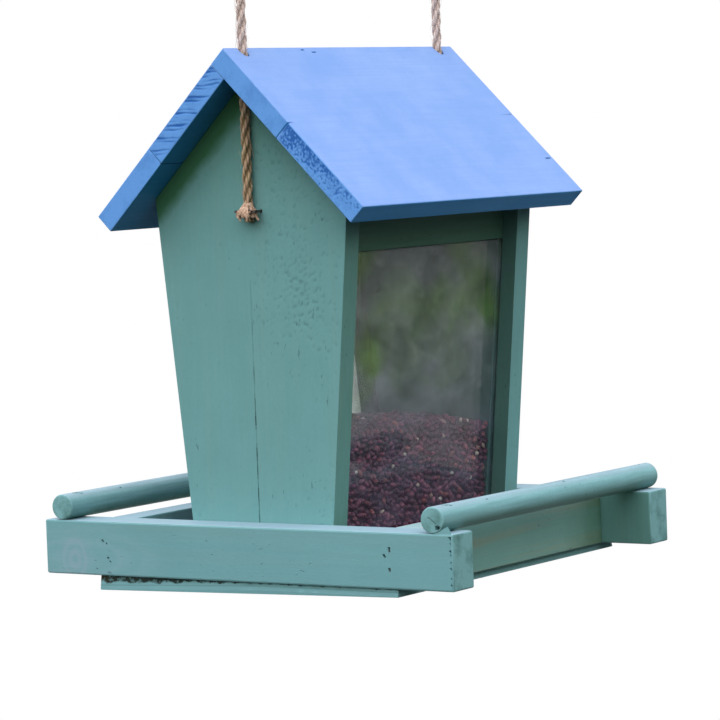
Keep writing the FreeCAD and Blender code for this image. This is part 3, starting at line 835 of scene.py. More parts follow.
def dent_rail(bm, low, face_x, outward):
    """Press staple dents and the chips of its front corner into a rail's outer face."""
    for along_y, height, length, width, tilt in STAPLE_DENTS:
        centre = Vector((face_x, along_y * MM, low.z + height * MM))
        slant = Vector((0, math.cos(math.radians(tilt)), math.sin(math.radians(tilt))))
        punch(bm, centre, outward, slant, length * MM, width * MM, DENT_DEPTH)
    for height, length in CORNER_CHIPS:
        chip = Vector((face_x, low.y + CHIP_INSET, low.z + height * MM))
        punch(bm, chip, outward, CHIP_SLANT, CHIP_LONG * length * MM, CHIP_WIDE * length * MM, CHIP_DEPTH)


print("marks on a rail:", len(STAPLE_DENTS), "dents and", len(CORNER_CHIPS), "chips")

# %% [markdown]
# ## The tray
# Two rails run from front to rear and carry the perches on their ends. Two cross boards stand between
# them. All four are blocks with eased edges and sawn ends, and the rails are damp on the inside.

# %% Rails and cross boards
RAIL_EASE, BOARD_EASE = 0.9 * MM, 0.7 * MM
OUTWARD = {"near_side_rail": -1, "far_side_rail": 1}


def side_rail(node, paint):
    """Rail with its dents, its chipped corner, sawn ends and a damp inner face."""
    low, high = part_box(node)
    bm = block(low, high)
    soften(bm, RAIL_EASE)
    outward = Vector((OUTWARD[node], 0, 0))
    face_x = low.x if OUTWARD[node] < 0 else high.x
    dent_rail(bm, low, face_x, outward)
    mark_ends(bm, ALONG_Y)
    for face in bm.faces:
        if face.normal.dot(outward) < -ROUGHLY:
            face.material_index = 2
    if node == "near_side_rail":
        raise_splinter(bm, Vector((face_x, low.y, high.z)))
    return board_piece(bm, node, "feeder", [paint, green_end, green_damp_and_shaded])


side_rail("near_side_rail", green_knot)
side_rail("far_side_rail", green_y)
for node, paint in (("front_cross_board", green_thin), ("rear_cross_board", green_x)):
    bm = block(*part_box(node))
    soften(bm, BOARD_EASE)
    mark_ends(bm, ALONG_X)
    board_piece(bm, node, "feeder", [paint, green_end])

# %% [markdown]
# ## Marks on a perch
# The near end of the front perch has split across as it dried: a strip of the end face is pushed inwards,
# with a notch beside it. Shallow scrapes run along the top. A dowel is made of narrow flat strips, and a
# scrape lies in the strip that looks most in its direction.

# %% Perch marks
RIGHT, REARWARD, UPWARD = Vector((1, 0, 0)), Vector((0, 1, 0)), Vector((0, 0, 1))
# How far a mark lies in front of the dowel's middle and below it, then its length, width and depth
CRACK_FORWARD, CRACK_BELOW, CRACK_SIZE = 1.2 * MM, 0.8 * MM, (8.5 * MM, 0.4 * MM, 1.6 * MM)
NOTCH_FORWARD, NOTCH_BELOW, NOTCH_SIZE = 3.3 * MM, 3.6 * MM, (3.2 * MM, 2.2 * MM, 2.4 * MM)
CRACK_SLANT = Vector((0, 0.83, 0.56))
SCRAPE_WIDTH, SCRAPE_DEPTH = 0.74 * MM, 0.25 * MM
WHOLE_STRIP = 20 * MM * MM
# Scrapes: millimetres from the near end, lean from the top towards the front in degrees, length
PERCH_SCRAPES = [(9.0, 4, 5.0), (9.8, 11, 5.4), (10.8, 19, 4.2), (12.8, 26, 2.4), (44.0, 34, 1.8),
                 (118.0, 19, 2.4)]


def split_end(bm, low, middle):
    """Crack and notch in the near end of the front perch."""
    crack = Vector((low.x, middle.y - CRACK_FORWARD, middle.z - CRACK_BELOW))
    punch(bm, crack, -RIGHT, CRACK_SLANT, *CRACK_SIZE)
    notch = Vector((low.x, middle.y - NOTCH_FORWARD, middle.z - NOTCH_BELOW))
    punch(bm, notch, -RIGHT, REARWARD, *NOTCH_SIZE)


def scrape(bm, low, from_end, lean, length):
    """Shallow dark scrape in the strip of the dowel that looks most in a leaning direction."""
    bm.normal_update()
    aim = Vector((0, -math.sin(math.radians(lean)), math.cos(math.radians(lean))))
    strips = [face for face in bm.faces if face.calc_area() > WHOLE_STRIP]
    strip = max(strips, key=lambda face: face.normal.dot(aim))
    place = strip.calc_center_median()
    place.x = low.x + from_end * MM
    punch(bm, place, strip.normal.copy(), RIGHT, length * MM, SCRAPE_WIDTH, SCRAPE_DEPTH)


print("scrapes on a perch:", len(PERCH_SCRAPES))

# %% [markdown]
# ## Perches
# The perches are lengths of dowel nailed across the rail ends. A dowel is a cylinder, of which only the
# edges round its end faces are eased. Each nail has left a dimple.

# %% Perches
PERCH_SIDES = 48
BRAD_PLACES = (-0.094, 0.094)
BRAD_ASIDE, BRAD_SIZE = 0.4 * MM, (1.6 * MM, 0.7 * MM, 0.6 * MM)


def perch(node):
    """Dowel with broken ends, nail dimples and scrapes."""
    low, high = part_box(node)
    middle, radius = (low + high) / 2, (high.z - low.z) / 2
    bm = bmesh.new()
    bmesh.ops.create_cone(bm, cap_ends=True, segments=PERCH_SIDES, radius1=radius, radius2=radius,
                          depth=high.x - low.x,
                          matrix=Matrix.Translation(middle) @ Matrix.Rotation(math.pi / 2, 4, "Y"))
    soften(bm, BOARD_EASE, lambda edge: any(len(face.verts) > 4 for face in edge.link_faces))
    if node == "front_perch":
        split_end(bm, low, middle)
    for brad_x in BRAD_PLACES:
        dimple = Vector((brad_x, middle.y - BRAD_ASIDE, high.z))
        punch(bm, dimple, UPWARD, RIGHT, *BRAD_SIZE)
    for from_end, lean, length in PERCH_SCRAPES:
        scrape(bm, low, from_end, lean, length)
    mark_ends(bm, ALONG_X)
    return board_piece(bm, node, "feeder", [green_dowel, green_end])


for node in ("front_perch", "rear_perch"):
    perch(node)

# %% [markdown]
# ## The floor's edge
# The floor is a thin sheet stapled under the tray. Its sawn edge was never sanded: the upper corner is
# chipped, and a faint line shows the sheet's plies. A ragged dark band along the top of the edge stands for
# the gap between sheet and rail: painted shade, browner over bare wood at the rear. Damp has sprung the
# sheet a few millimetres towards the rear, so the band widens there.

# %% Floor edge
PLY_LINE = 2.4 * MM
SPRUNG_FROM, SPRUNG_TO, SPRUNG_DROP = -10 * MM, 88 * MM, 3.4 * MM
BAND_FROM, BAND_TO = 3.0 * MM, 4.7 * MM
GAP_FROM, GAP_TO = 0.075, 0.087
floor_edge, tree = new_material("raw_floor_edge")
place = object_place(tree)
axes = axes_of(tree, place)
sunk = spread(tree, axes["Y"], SPRUNG_FROM, SPRUNG_TO, 0.0, SPRUNG_DROP)
level = work_out(tree, "ADD", axes["Z"], sunk)
ragged = spread(tree, fleck(tree, place, 200, 4, 0.65), 0.34, 0.66, BAND_FROM, BAND_TO)
# The dark band along the top of the edge: painted shade of the gap to the rail, over bare wood, with paint
# flakes.
bare = work_out(tree, "SUBTRACT", level, ragged)
raw = laid_over(tree, screen(36, 50, 46), screen(46, 46, 34), axes["Y"], GAP_FROM, GAP_TO)
raw = laid_over(tree, raw, screen(104, 144, 146), fleck(tree, place, 430, 3, 0.6), 0.52, 0.6, 0.7)
off_line = work_out(tree, "ABSOLUTE", work_out(tree, "SUBTRACT", level, PLY_LINE))
ply = spread(tree, off_line, 0.1 * MM, 0.4 * MM, 0.45, 0.0)
edge_colour = mix(tree, ply, screen(128, 178, 184), screen(86, 128, 132))
edge_colour = laid_over(tree, edge_colour, raw, bare, -0.3 * MM, 0.4 * MM)
show_surface(tree, edge_colour, 0.8, 0.2)
print("floor edge", floor_edge.name)

# %% [markdown]
# ## Floor board
# The sheet's sides are cut into short strips. The points of the upper edge are pushed in by noise,
# which chips it, and all lower points drop towards the rear.

# %% Floor board
FLOOR_EASE, CHIP_STEP, CHIP_REACH = 0.3 * MM, 1.4 * MM, 1.1 * MM
CHIPS_PER_METRE, AT_RIM = 330, 0.01 * MM


def floor_board(node):
    """Thin sheet with chipped upper edges that hangs a little lower at the rear."""
    low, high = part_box(node)
    bm = block(low, high)
    soften(bm, FLOOR_EASE, lambda edge: all(vert.co.z < low.z + MM for vert in edge.verts))
    bm.normal_update()
    for axis, way in ((ALONG_X, REARWARD), (ALONG_Y, RIGHT)):
        sides = [face for face in bm.faces if abs(face.normal[axis]) > SQUARELY]
        for face in slice_faces(bm, sides, way, CHIP_STEP):
            face.material_index = 1
    centre = (low + high) / 2
    for vert in bm.verts:
        if vert.co.z > high.z - AT_RIM:
            chip = max(0.0, noise.noise(vert.co * CHIPS_PER_METRE) + 0.2) * CHIP_REACH
            for axis in (ALONG_X, ALONG_Y):
                if abs(vert.co[axis]) > high[axis] - AT_RIM:
                    vert.co[axis] -= math.copysign(chip, vert.co[axis] - centre[axis])
            vert.co.z -= chip * 0.5
        else:
            vert.co.z -= SPRUNG_DROP * max(0.0, vert.co.y - SPRUNG_FROM) / (SPRUNG_TO - SPRUNG_FROM)
    return board_piece(bm, node, "feeder", [green_y, floor_edge])


floor_board("floor_board")

# %% [markdown]
# ## The house
# Each gable is two planks glued edge to edge, which hold the panes in saw grooves. A batten closes the
# wall above each window. These boards are copies of the CAD nodes, because the grooves are cut in them
# already. The front planks are rough sawn, and the paint shows their dimples: the outer faces are cut
# into a grid, and its points sink a little by noise.

# %% Rough planks
POCK_STEP, POCK_DEPTH = 0.9 * MM, 0.27 * MM
POCK_LEAN = math.radians(30)
CROWDS, TALL_CROWDS, CROWD_SHARE = 42, 20, 0.36
ROUGH_FROM, ROUGH_RISE, ROUGH_SHARE, SMOOTH_SHARE = 0.07, 0.06, 0.25, -0.1
DIMPLES_ACROSS, DIMPLES_ALONG, FINE_DIMPLES = 640, 420, 1000
POCK_LEVEL, POCK_STEEPNESS = 0.54, 2.6


def pocked(place, rough):
    """Depth of the dimples from 0 to 1: in crowds on a rough plank's upper part, sparse elsewhere."""
    patch = noise.noise(Vector((place.x * CROWDS, place.y * CROWDS - 0.5, place.z * TALL_CROWDS + 3.1)))
    steady = ROUGH_SHARE * clip((place.z - ROUGH_FROM) / ROUGH_RISE) if rough else SMOOTH_SHARE
    crowd = CROWD_SHARE * patch + steady
    across = place.y * math.cos(POCK_LEAN) + place.z * math.sin(POCK_LEAN)
    along = place.z * math.cos(POCK_LEAN) - place.y * math.sin(POCK_LEAN)
    dimple = noise.noise(Vector((0, across * DIMPLES_ACROSS, along * DIMPLES_ALONG)))
    fine = 0.3 * noise.noise(place * FINE_DIMPLES)
    return clip((dimple + fine + crowd - POCK_LEVEL) * POCK_STEEPNESS)


def dimple_outside(bm, way, rough):
    """Sink points of the face that looks out of the house, and store their depth for the paint."""
    pit = value_layer(bm.verts, "pit")
    bm.normal_update()
    faces = [face for face in bm.faces if face.normal.x * way > SQUARELY]
    faces = slice_faces(bm, faces, UPWARD, POCK_STEP)
    faces = set(slice_faces(bm, faces, REARWARD, POCK_STEP))
    for vert in {vert for face in faces for vert in face.verts}:
        if all(linked in faces for linked in vert.link_faces):
            vert[pit] = pocked(vert.co, rough)
            vert.co.x -= way * POCK_DEPTH * vert[pit]


print("dimples up to", POCK_DEPTH, "m deep")

# %% [markdown]
# ## The glue line
# Paint hides the top of the glue line between two planks, and lower down it has opened into a fine
# groove. So the planks' edges along it are eased only low on the outer face. The eased faces are cut
# into short strips, and noise leaves some of them dark.

# %% Glue line
SEAM_STEP, SEAM_REACH = 2.2 * MM, 0.5 * MM
SEAM_TOP, SEAM_FADE, SEAM_DARK = 0.148, 0.06, 0.8
GABLE_MIDDLE = (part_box("far_gable_front_plank")[0].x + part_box("far_gable_front_plank")[1].x) / 2


def closed_seam(edge, seam_y):
    """True where the glue line stays closed: inside the house and, outside it, high on the gable."""
    on_seam = all(abs(vert.co.y - seam_y) < TOUCHING for vert in edge.verts)
    inside = all(abs(vert.co.x) < GABLE_MIDDLE for vert in edge.verts)
    high = all(vert.co.z > SEAM_TOP - TOUCHING for vert in edge.verts)
    return on_seam and (inside or high)


def darken_seam(bm, way, seam_y):
    """Show the bare wood in the glue line, dark towards the foot, broken and faint higher up."""
    hole = value_layer(bm.faces, "hole")
    bm.normal_update()
    eased = [face for face in bm.faces if abs(face.calc_center_median().y - seam_y) < SEAM_REACH
             and 0.2 < face.normal.x * way < 0.98]
    for face in slice_faces(bm, eased, UPWARD, SEAM_STEP):
        place = face.calc_center_median()
        broken = clip(0.4 + 1.3 * noise.noise(place * 130))
        face[hole] = SEAM_DARK * clip((SEAM_TOP - place.z) / SEAM_FADE) * broken


print("glue line closed above", SEAM_TOP, "m")

# %% [markdown]
# ## Gables and headers
# The inner faces of the gables get a darker coat than the outer ones: painted shade. The front edge beside
# the near window gets the damp coat, as painted shade of the eave. The headers sit in the shade of the
# eaves, and their darker coat is painted shade.

# %% Gables and headers
GABLE_EASE, HEADER_EASE = 0.35 * MM, 0.4 * MM
for end in ("near", "far"):
    for side in ("front", "rear"):
        node = f"{end}_gable_{side}_plank"
        bm = copy_of(node)
        seam_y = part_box(f"{end}_gable_front_plank")[1].y
        cut_faces(bm, bm.faces, UPWARD * SEAM_TOP, UPWARD)
        soften(bm, GABLE_EASE, lambda edge: not closed_seam(edge, seam_y))
        inward = 1 if end == "near" else -1
        darken_seam(bm, -inward, seam_y)
        dimple_outside(bm, -inward, side == "front")
        # The near gable's front edge takes the damp coat as painted shade of the eave.
        outer_edge = 2 if node == "near_gable_front_plank" else 0
        for face in bm.faces:
            # Inner faces take the darker inside coat: painted shade.
            if face.normal.x * inward > 0.3:
                face.material_index = 1
            elif face.normal.y < -ROUGHLY:
                face.material_index = outer_edge
        board_piece(bm, node, "feeder", [green_z, green_shaded_inside, green_damp_and_shaded])
for node in ("front_header", "rear_header"):
    bm = copy_of(node)
    soften(bm, HEADER_EASE)
    board_piece(bm, node, "feeder", [green_shaded])

# %% [markdown]
# ## The roof
# The roof is four planks: two on each slope, with the front slope lapping the rear one at the ridge.
# Paint hides the joint between the planks of a slope except at the ends, where it has opened into a
# short crack. Two of the planks have torn ends: their end faces are cut into a fine grid, and the points
# sink where the saw tore the grain.

# %% Torn ends
TEAR_STEP, TEAR_DEPTH = 0.42 * MM, 0.14 * MM
DOWN_FRONT = Vector((0, -1, -1)).normalized()
DOWN_REAR = Vector((0, 1, -1)).normalized()


def tear_ends(bm, down, depth_at):
    """Sink the points of both end faces by a depth from 0 to 1, and store it for the paint."""
    pit = value_layer(bm.verts, "pit")
    across = Vector((0, -down.z * math.copysign(1, down.y), abs(down.y)))
    for way in (-1, 1):
        bm.normal_update()
        faces = [face for face in bm.faces if face.normal.x * way > SQUARELY]
        faces = slice_faces(bm, faces, down, TEAR_STEP)
        faces = set(slice_faces(bm, faces, across, TEAR_STEP))
        points = {vert for face in faces for vert in face.verts}
        lengths = [vert.co.dot(down) for vert in points]
        depths = [vert.co.dot(across) for vert in points]
        for vert in points:
            if all(linked in faces for linked in vert.link_faces):
                share = (vert.co.dot(down) - min(lengths)) / (max(lengths) - min(lengths))
                upward = (vert.co.dot(across) - min(depths)) / (max(depths) - min(depths))
                vert[pit] = clip(depth_at(vert.co, share, upward))
                vert.co.x -= way * vert[pit] * TEAR_DEPTH


print("torn ends on a grid of", TEAR_STEP, "m")

# %% [markdown]
# ## Two kinds of tear
# The saw has torn the lower front plank into coarse pepper, and the upper rear one into lines along its
# growth rings. Both are sums of noise at the place of a point, and of how far along and up the end face
# it lies.

# %% Tear patterns
RING_SPACING, GROUP_SPACING = 1.9 * MM, 6.2 * MM


def speckled(place, share, upward):
    """Pits like coarse pepper, thick under the roof's top face and sparse towards the eave."""
    grainy = noise.noise(place * 860) + 0.3 * noise.noise(place * 1500)
    clumps = 0.3 * noise.noise(place * 170)
    thick = 0.66 * upward + 0.5 * max(0.0, 0.4 - share) - 0.9 * max(0.0, share - 0.4) - 0.06
    return (grainy + clumps + thick) * 1.5


def banded(place, share, upward):
    """Fine torn lines in groups along the growth rings, which lie level in this plank."""
    wander = noise.noise(place * 110)
    fine = math.sin(math.tau * place.z / RING_SPACING + 3.0 * wander)
    group = math.sin(math.tau * place.z / GROUP_SPACING + 2.0 * wander)
    ragged = noise.noise(Vector((place.x * 300, place.y * 160, place.z * 600)))
    return 0.5 * fine + 0.6 * group + 0.9 * ragged + 0.35 * upward - 0.25


print("growth rings", RING_SPACING, "m apart")

# %% [markdown]
# ## Open joints
# Where the joint of a slope has opened, the upper corner of its lower plank is cut a little way in from
# the end, and the points beyond the cut move down the slope. Underneath, the eased edge of the joint is a
# dark line.

# %% Open joints
JOINT_GAP, CORNER_REACH = 0.5 * MM, 0.3 * MM
INNER_CORNER, INNER_REACH, JOINT_DARK = 7.42 * MM, 0.7 * MM, 0.9
# Cracks at the ends of the front joint: which end, and length
JOINT_CRACKS = [(-1, 6 * MM), (1, 13 * MM)]


def open_joint(bm, low, high, down, lengths):
    """Open the joint at the plank's upper corner into a tapering crack at each end."""
    for way, length in lengths:
        level = (low.x if way < 0 else high.x) - way * length
        cut_faces(bm, bm.faces, RIGHT * level, RIGHT)
        for vert in bm.verts:
            if vert.co.z > high.z - CORNER_REACH and (vert.co.x - level) * way > TOUCHING:
                vert.co += down * JOINT_GAP


def darken_joint(bm, high):
    """Show the joint between a slope's planks as a dark line on the underside."""
    hole = value_layer(bm.faces, "hole")
    wear = value_layer(bm.faces, "edge_wear")
    for face in bm.faces:
        if face[wear] and abs(face.calc_center_median().z - high.z + INNER_CORNER) < INNER_REACH:
            face[hole] = JOINT_DARK


print("joints open by", JOINT_GAP, "m")

# %% [markdown]
# ## Roof edges
# All edges of a roof plank are eased but those of the rope holes, of the glued joint on the outer face
# and of the end that butts against the front slope. The place of an edge tells which of them it is.

# %% Roof edges
ROPE_HOLES = [Vector((x, ROPE_Y, 0)) for x in (-ROPE_X, ROPE_X)]
HOLE_REACH = 4.5 * MM
RIDGE_RUN, LOWER_JOINT, UPPER_JOINT, BUTT_REACH = 20 * MM, MM, 9 * MM, 6 * MM


def off_the_holes(edge):
    """True for an edge that stays clear of the rope holes."""
    for vert in edge.verts:
        flat = Vector((vert.co.x, vert.co.y, 0))
        if any((flat - hole).length < HOLE_REACH for hole in ROPE_HOLES):
            return False
    return True


def eased(edge, node, low, high):
    """True for an edge that is in no rope hole, butted end or glued joint on the outer face."""
    along_ridge = abs(edge.verts[0].co.x - edge.verts[1].co.x) > RIDGE_RUN
    height = (edge.verts[0].co.z + edge.verts[1].co.z) / 2
    joint = height > high.z - LOWER_JOINT if "lower" in node else height < low.z + UPPER_JOINT
    butted = node == "rear_roof_upper_plank" and height > high.z - BUTT_REACH
    return off_the_holes(edge) and not (joint if along_ridge else butted)


print("rope holes at", [round(hole.x, 4) for hole in ROPE_HOLES])

# %% [markdown]
# ## Roof planks
# A plank is a copy of its CAD node, with the rope holes already in it. The underside and the eave get
# darker, bluer copies of the paint as painted shade, and something hard has dented the front slope.

# %% Roof planks
ROOF_EASE = 0.5 * MM
UP_FRONT = Vector((0, -1, 1)).normalized()
RIDGE_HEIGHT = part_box("front_roof_upper_plank")[1].z
# Dents in the front slope, in millimetres: place along X and Y, and length
ROOF_DENTS = {"front_roof_upper_plank": [(-36.7, -1.2, 3.0), (-28.6, -2.4, 3.6)],
              "front_roof_lower_plank": [(97.5, -59.8, 5.0)]}
ROOF_DENT_WIDTH, ROOF_DENT_DEPTH = 0.8 * MM, 0.5 * MM


def mark_underside(bm, down):
    """Give the faces that look down the third material, and the eave edge the fourth."""
    # Faces that look down take the darker underside and eave coats: painted shade.
    for face in bm.faces:
        if face.normal.z < -0.3:
            face.material_index = 3 if face.normal.dot(down) > 0.6 else 2


def roof_plank(node, down, torn=None, cracks=()):
    """Roof plank with eased edges, torn or smooth ends, an open joint and a few dents."""
    low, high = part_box(node)
    bm = copy_of(node)
    soften(bm, ROOF_EASE, lambda edge: eased(edge, node, low, high))
    if "lower" in node:
        darken_joint(bm, high)
    if torn:
        tear_ends(bm, down, torn)
    if cracks:
        open_joint(bm, low, high, down, cracks)
    for along_x, along_y, length in ROOF_DENTS.get(node, []):
        dent = Vector((along_x * MM, along_y * MM, RIDGE_HEIGHT + along_y * MM))
        punch(bm, dent, UP_FRONT, RIGHT, length * MM, ROOF_DENT_WIDTH, ROOF_DENT_DEPTH)
    mark_ends(bm, ALONG_X)
    mark_underside(bm, down)
    return board_piece(bm, node, "roof", [blue_x, blue_end, blue_shaded_under, blue_shaded_eave])


roof_plank("front_roof_upper_plank", DOWN_FRONT)
roof_plank("front_roof_lower_plank", DOWN_FRONT, speckled, JOINT_CRACKS)
roof_plank("rear_roof_upper_plank", DOWN_REAR, banded)
roof_plank("rear_roof_lower_plank", DOWN_REAR)

# %% [markdown]
# ## Dust on the panes
# Months outdoors have left a film of dust on the windows, in cloudy patches that are greenish where they
# stay damp. Below the level of the seed the grains rub the pane clean and leave a little flour on it. At
# one end of the rear pane a dull, dark strip is partly dust and partly painted shade that darkens the view
# through the pane.

# %% Dust
SEED_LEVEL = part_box("hopper_seed")[1].z
# The dull dark green-grey is partly dust and partly painted shade over the view through the rear pane.
DUST, GREEN_DUST, DULL_DUST_AND_SHADE = screen(206, 210, 222), screen(160, 202, 116), screen(92, 108, 98)
FLOUR = screen(204, 194, 232)
RUBBED_FROM, FLOUR_TO, RUBBED_TO = SEED_LEVEL - 0.02, SEED_LEVEL + 0.01, SEED_LEVEL + 0.03
RUBBED_SHARE = 0.27
THICK_FROM, THICK_TO, THICK_SHARE = -0.07, -0.03, 1.35
PANE_STRIP_FROM, PANE_STRIP_TO = 0.035, 0.066


def dust_and_shade_strip(tree, place, axes):
    """Share of the dull dark strip at one end of the rear pane: dust and painted shade."""
    strip = times(tree, spread(tree, axes["X"], PANE_STRIP_FROM, PANE_STRIP_TO), spread(tree, axes["Y"], 0.0, 0.01))
    return times(tree, strip, spread(tree, fleck(tree, place, 70, 4, 0.6, 0.4), 0.3, 0.6, 0.4, 0.66))


def dust_colour(tree, place, axes, pane_strip):
    """Colour of the dust: greenish in patches, flour at the seed, dull and dark in the strip of painted
    shade.
    """
    algae = fleck(tree, place, 17, 3, 0.5, 0.6)
    colour = laid_over(tree, DUST, GREEN_DUST, algae, 0.44, 0.6)
    colour = laid_over(tree, FLOUR, colour, axes["Z"], RUBBED_FROM, FLOUR_TO)
    return laid_over(tree, colour, DULL_DUST_AND_SHADE, pane_strip, 0.0, 0.4)


def dust_film(tree, place, axes, pane_strip):
    """Share that dust covers: smeared, rubbed thin at the seed, thicker towards the near gable."""
    wiped = stretched(tree, place, (0.6, 1, 0.8), (0.0, 0.7, 0.0))
    smears = spread(tree, fleck(tree, wiped, 62, 7, 0.7, 0.3), 0.4, 0.7, 0.06, 0.32)
    film = times(tree, smears, spread(tree, axes["Z"], RUBBED_FROM, RUBBED_TO, RUBBED_SHARE, 1.0))
    film = times(tree, film, spread(tree, axes["X"], THICK_FROM, THICK_TO, THICK_SHARE, 1.0))
    return work_out(tree, "MAXIMUM", film, pane_strip)


print("dust is rubbed thin below", round(RUBBED_TO, 3), "m")

# %% [markdown]
# ## The panes
# The windows are thin clear acrylic. A sheet this thin hardly bends the view, so a transparent shader
# with a mirror-like share from the Fresnel law looks right and lets the light in. The dust is a third,
# matt share.

# %% Acrylic
ACRYLIC_IOR, MIRROR_SHARE = 1.49, 0.3
acrylic, tree = new_material("dusty_acrylic")
place = object_place(tree)
clear = add(tree, "ShaderNodeBsdfTransparent", {"Color": (0.86, 0.89, 0.88, 1)})
gloss = add(tree, "ShaderNodeBsdfPrincipled", {
    "Base Color": (1, 1, 1, 1), "Metallic": 1.0, "Roughness": 0.03})
axes = axes_of(tree, place)
pane_strip = dust_and_shade_strip(tree, place, axes)
dust = add(tree, "ShaderNodeBsdfPrincipled", {
    "Base Color": dust_colour(tree, place, axes, pane_strip), "Roughness": 1.0, "Specular IOR Level": 0.0})
inside = add(tree, "ShaderNodeNewGeometry").outputs["Backfacing"]
turned = spread(tree, inside, 0, 1, ACRYLIC_IOR, 1 / ACRYLIC_IOR)
mirror = add(tree, "ShaderNodeFresnel", {"IOR": turned}).outputs["Fac"]
mirror = times(tree, mirror, MIRROR_SHARE)
sheet = add(tree, "ShaderNodeMixShader", {0: mirror, 1: clear.outputs[0], 2: gloss.outputs[0]})
film = dust_film(tree, place, axes, pane_strip)
show(tree, add(tree, "ShaderNodeMixShader", {0: film, 1: sheet.outputs[0], 2: dust.outputs[0]}))


def dress_node(node, material):
    """Keep a CAD node's shape and give it a new finish."""
    nodes[node].data.materials.clear()
    nodes[node].data.materials.append(material)


for node in ("front_pane", "rear_pane"):
    dress_node(node, acrylic)
print("panes", acrylic.name)

# %% [markdown]
# ## Staples and brads
# The fasteners keep their CAD shapes. Their wire was zinc-plated and has gone dull and dark, with brown
# blooms.

# %% Wire
steel, tree = new_material("tarnished_wire")
place = object_place(tree)
bloom = spread(tree, fleck(tree, place, 700, 4), 0.4, 0.65)
steel_colour = mix(tree, bloom, screen(92, 92, 90), screen(64, 44, 34))
show(tree, add(tree, "ShaderNodeBsdfPrincipled", {
    "Base Color": steel_colour, "Metallic": 0.8, "Roughness": spread(tree, bloom, 0, 1, 0.35, 0.8)}))
FASTENERS = ("near_rope_staple", "far_rope_staple", "rail_staples", "house_staples", "floor_staples",
             "perch_brads", "ridge_brads")
for node in FASTENERS:
    dress_node(node, steel)
print("fasteners", len(FASTENERS))

# %% [markdown]
# ## Seed
# The hopper holds small red-brown seed, with a few orange grains and some smaller pale ones. The frame
# stores it as plain wedges. Here a copy of each wedge is drawn in by half a grain and roughened, a
# geometry-nodes tree scatters points over it, and each point gets a small rounded grain with its own
# turn, size and tone. The heap is darker in clusters, so its colour also follows a coarse noise.

# %% Seed material
PALE_FROM, PALE_TO = 0.965, 0.98
seed_coat, tree = new_material("seed_husk")
tone = stored(tree, "tone")
ramp = add(tree, "ShaderNodeValToRGB", {"Fac": tone})
SEED_TONES = [(0.0, screen(90, 50, 70)), (0.5, screen(138, 70, 103)), (0.86, screen(180, 98, 126)),
              (0.96, screen(198, 112, 108)), (0.985, screen(240, 212, 202)), (1.0, screen(252, 246, 242))]
for position, colour in SEED_TONES[1:-1]:
    ramp.color_ramp.elements.new(position)
for stop, (position, colour) in zip(ramp.color_ramp.elements, SEED_TONES):
    stop.position = position
    stop.color = colour
place = object_place(tree)
husk = spread(tree, fleck(tree, place, 800, 2), 0.3, 0.7, 0.0, 0.32)
clusters = spread(tree, fleck(tree, place, 100, 3), 0.36, 0.64, 0.0, 0.56)
husk = times(tree, work_out(tree, "ADD", husk, clusters), spread(tree, tone, PALE_FROM, PALE_TO, 1.0, 0.0))
show_surface(tree, mix(tree, husk, ramp.outputs["Color"], screen(64, 33, 52)), 0.34, 0.5)
print("seed tones", len(SEED_TONES))

# %% [markdown]
# ## One grain
# A grain is a small ball of few faces, drawn out and pinched at one end. It is repeated thousands of
# times, so more faces would only cost memory.

# %% Grain
GRAIN_LENGTH, GRAIN_WIDTH = 5.4 * MM, 3.6 * MM
GRAIN_SPACING = 2.7 * MM
LEAST_SIZE, MOST_SIZE, PALE_SIZE = 0.75, 1.1, 0.68


def grain_shape():
    """One grain: a small ball, drawn out and pinched at one end."""
    bm = bmesh.new()
    bmesh.ops.create_uvsphere(bm, u_segments=6, v_segments=4, radius=GRAIN_WIDTH / 2)
    for vert in bm.verts:
        vert.co.z *= GRAIN_LENGTH / GRAIN_WIDTH
        if vert.co.z > 0:
            vert.co.xy *= 1 - 0.25 * vert.co.z / GRAIN_LENGTH * 2
    mesh = bpy.data.meshes.new("grain")
    bm.to_mesh(mesh)
    bm.free()
    return bpy.data.objects.new("grain", mesh)


print("grain of", GRAIN_LENGTH, "m")

# %% [markdown]
# ## Scatter
# A geometry-nodes tree covers a surface with points that keep a least distance, puts a turned and
# scaled grain on each, and gives each grain a random tone. The tree keeps the surface too, so there are
# no holes between grains.

# %% Scatter
GRAINS_PER_AREA = 900000.0


def random_value(group, kind, low, high, seed):
    """Random vectors or numbers; vectors use the first two inputs, numbers the next two."""
    made = group.nodes.new("FunctionNodeRandomValue")
    made.data_type = kind
    first = 0 if kind == "FLOAT_VECTOR" else 2
    made.inputs[first].default_value = low
    made.inputs[first + 1].default_value = high
    made.inputs["Seed"].default_value = seed
    return made.outputs[0 if kind == "FLOAT_VECTOR" else 1]


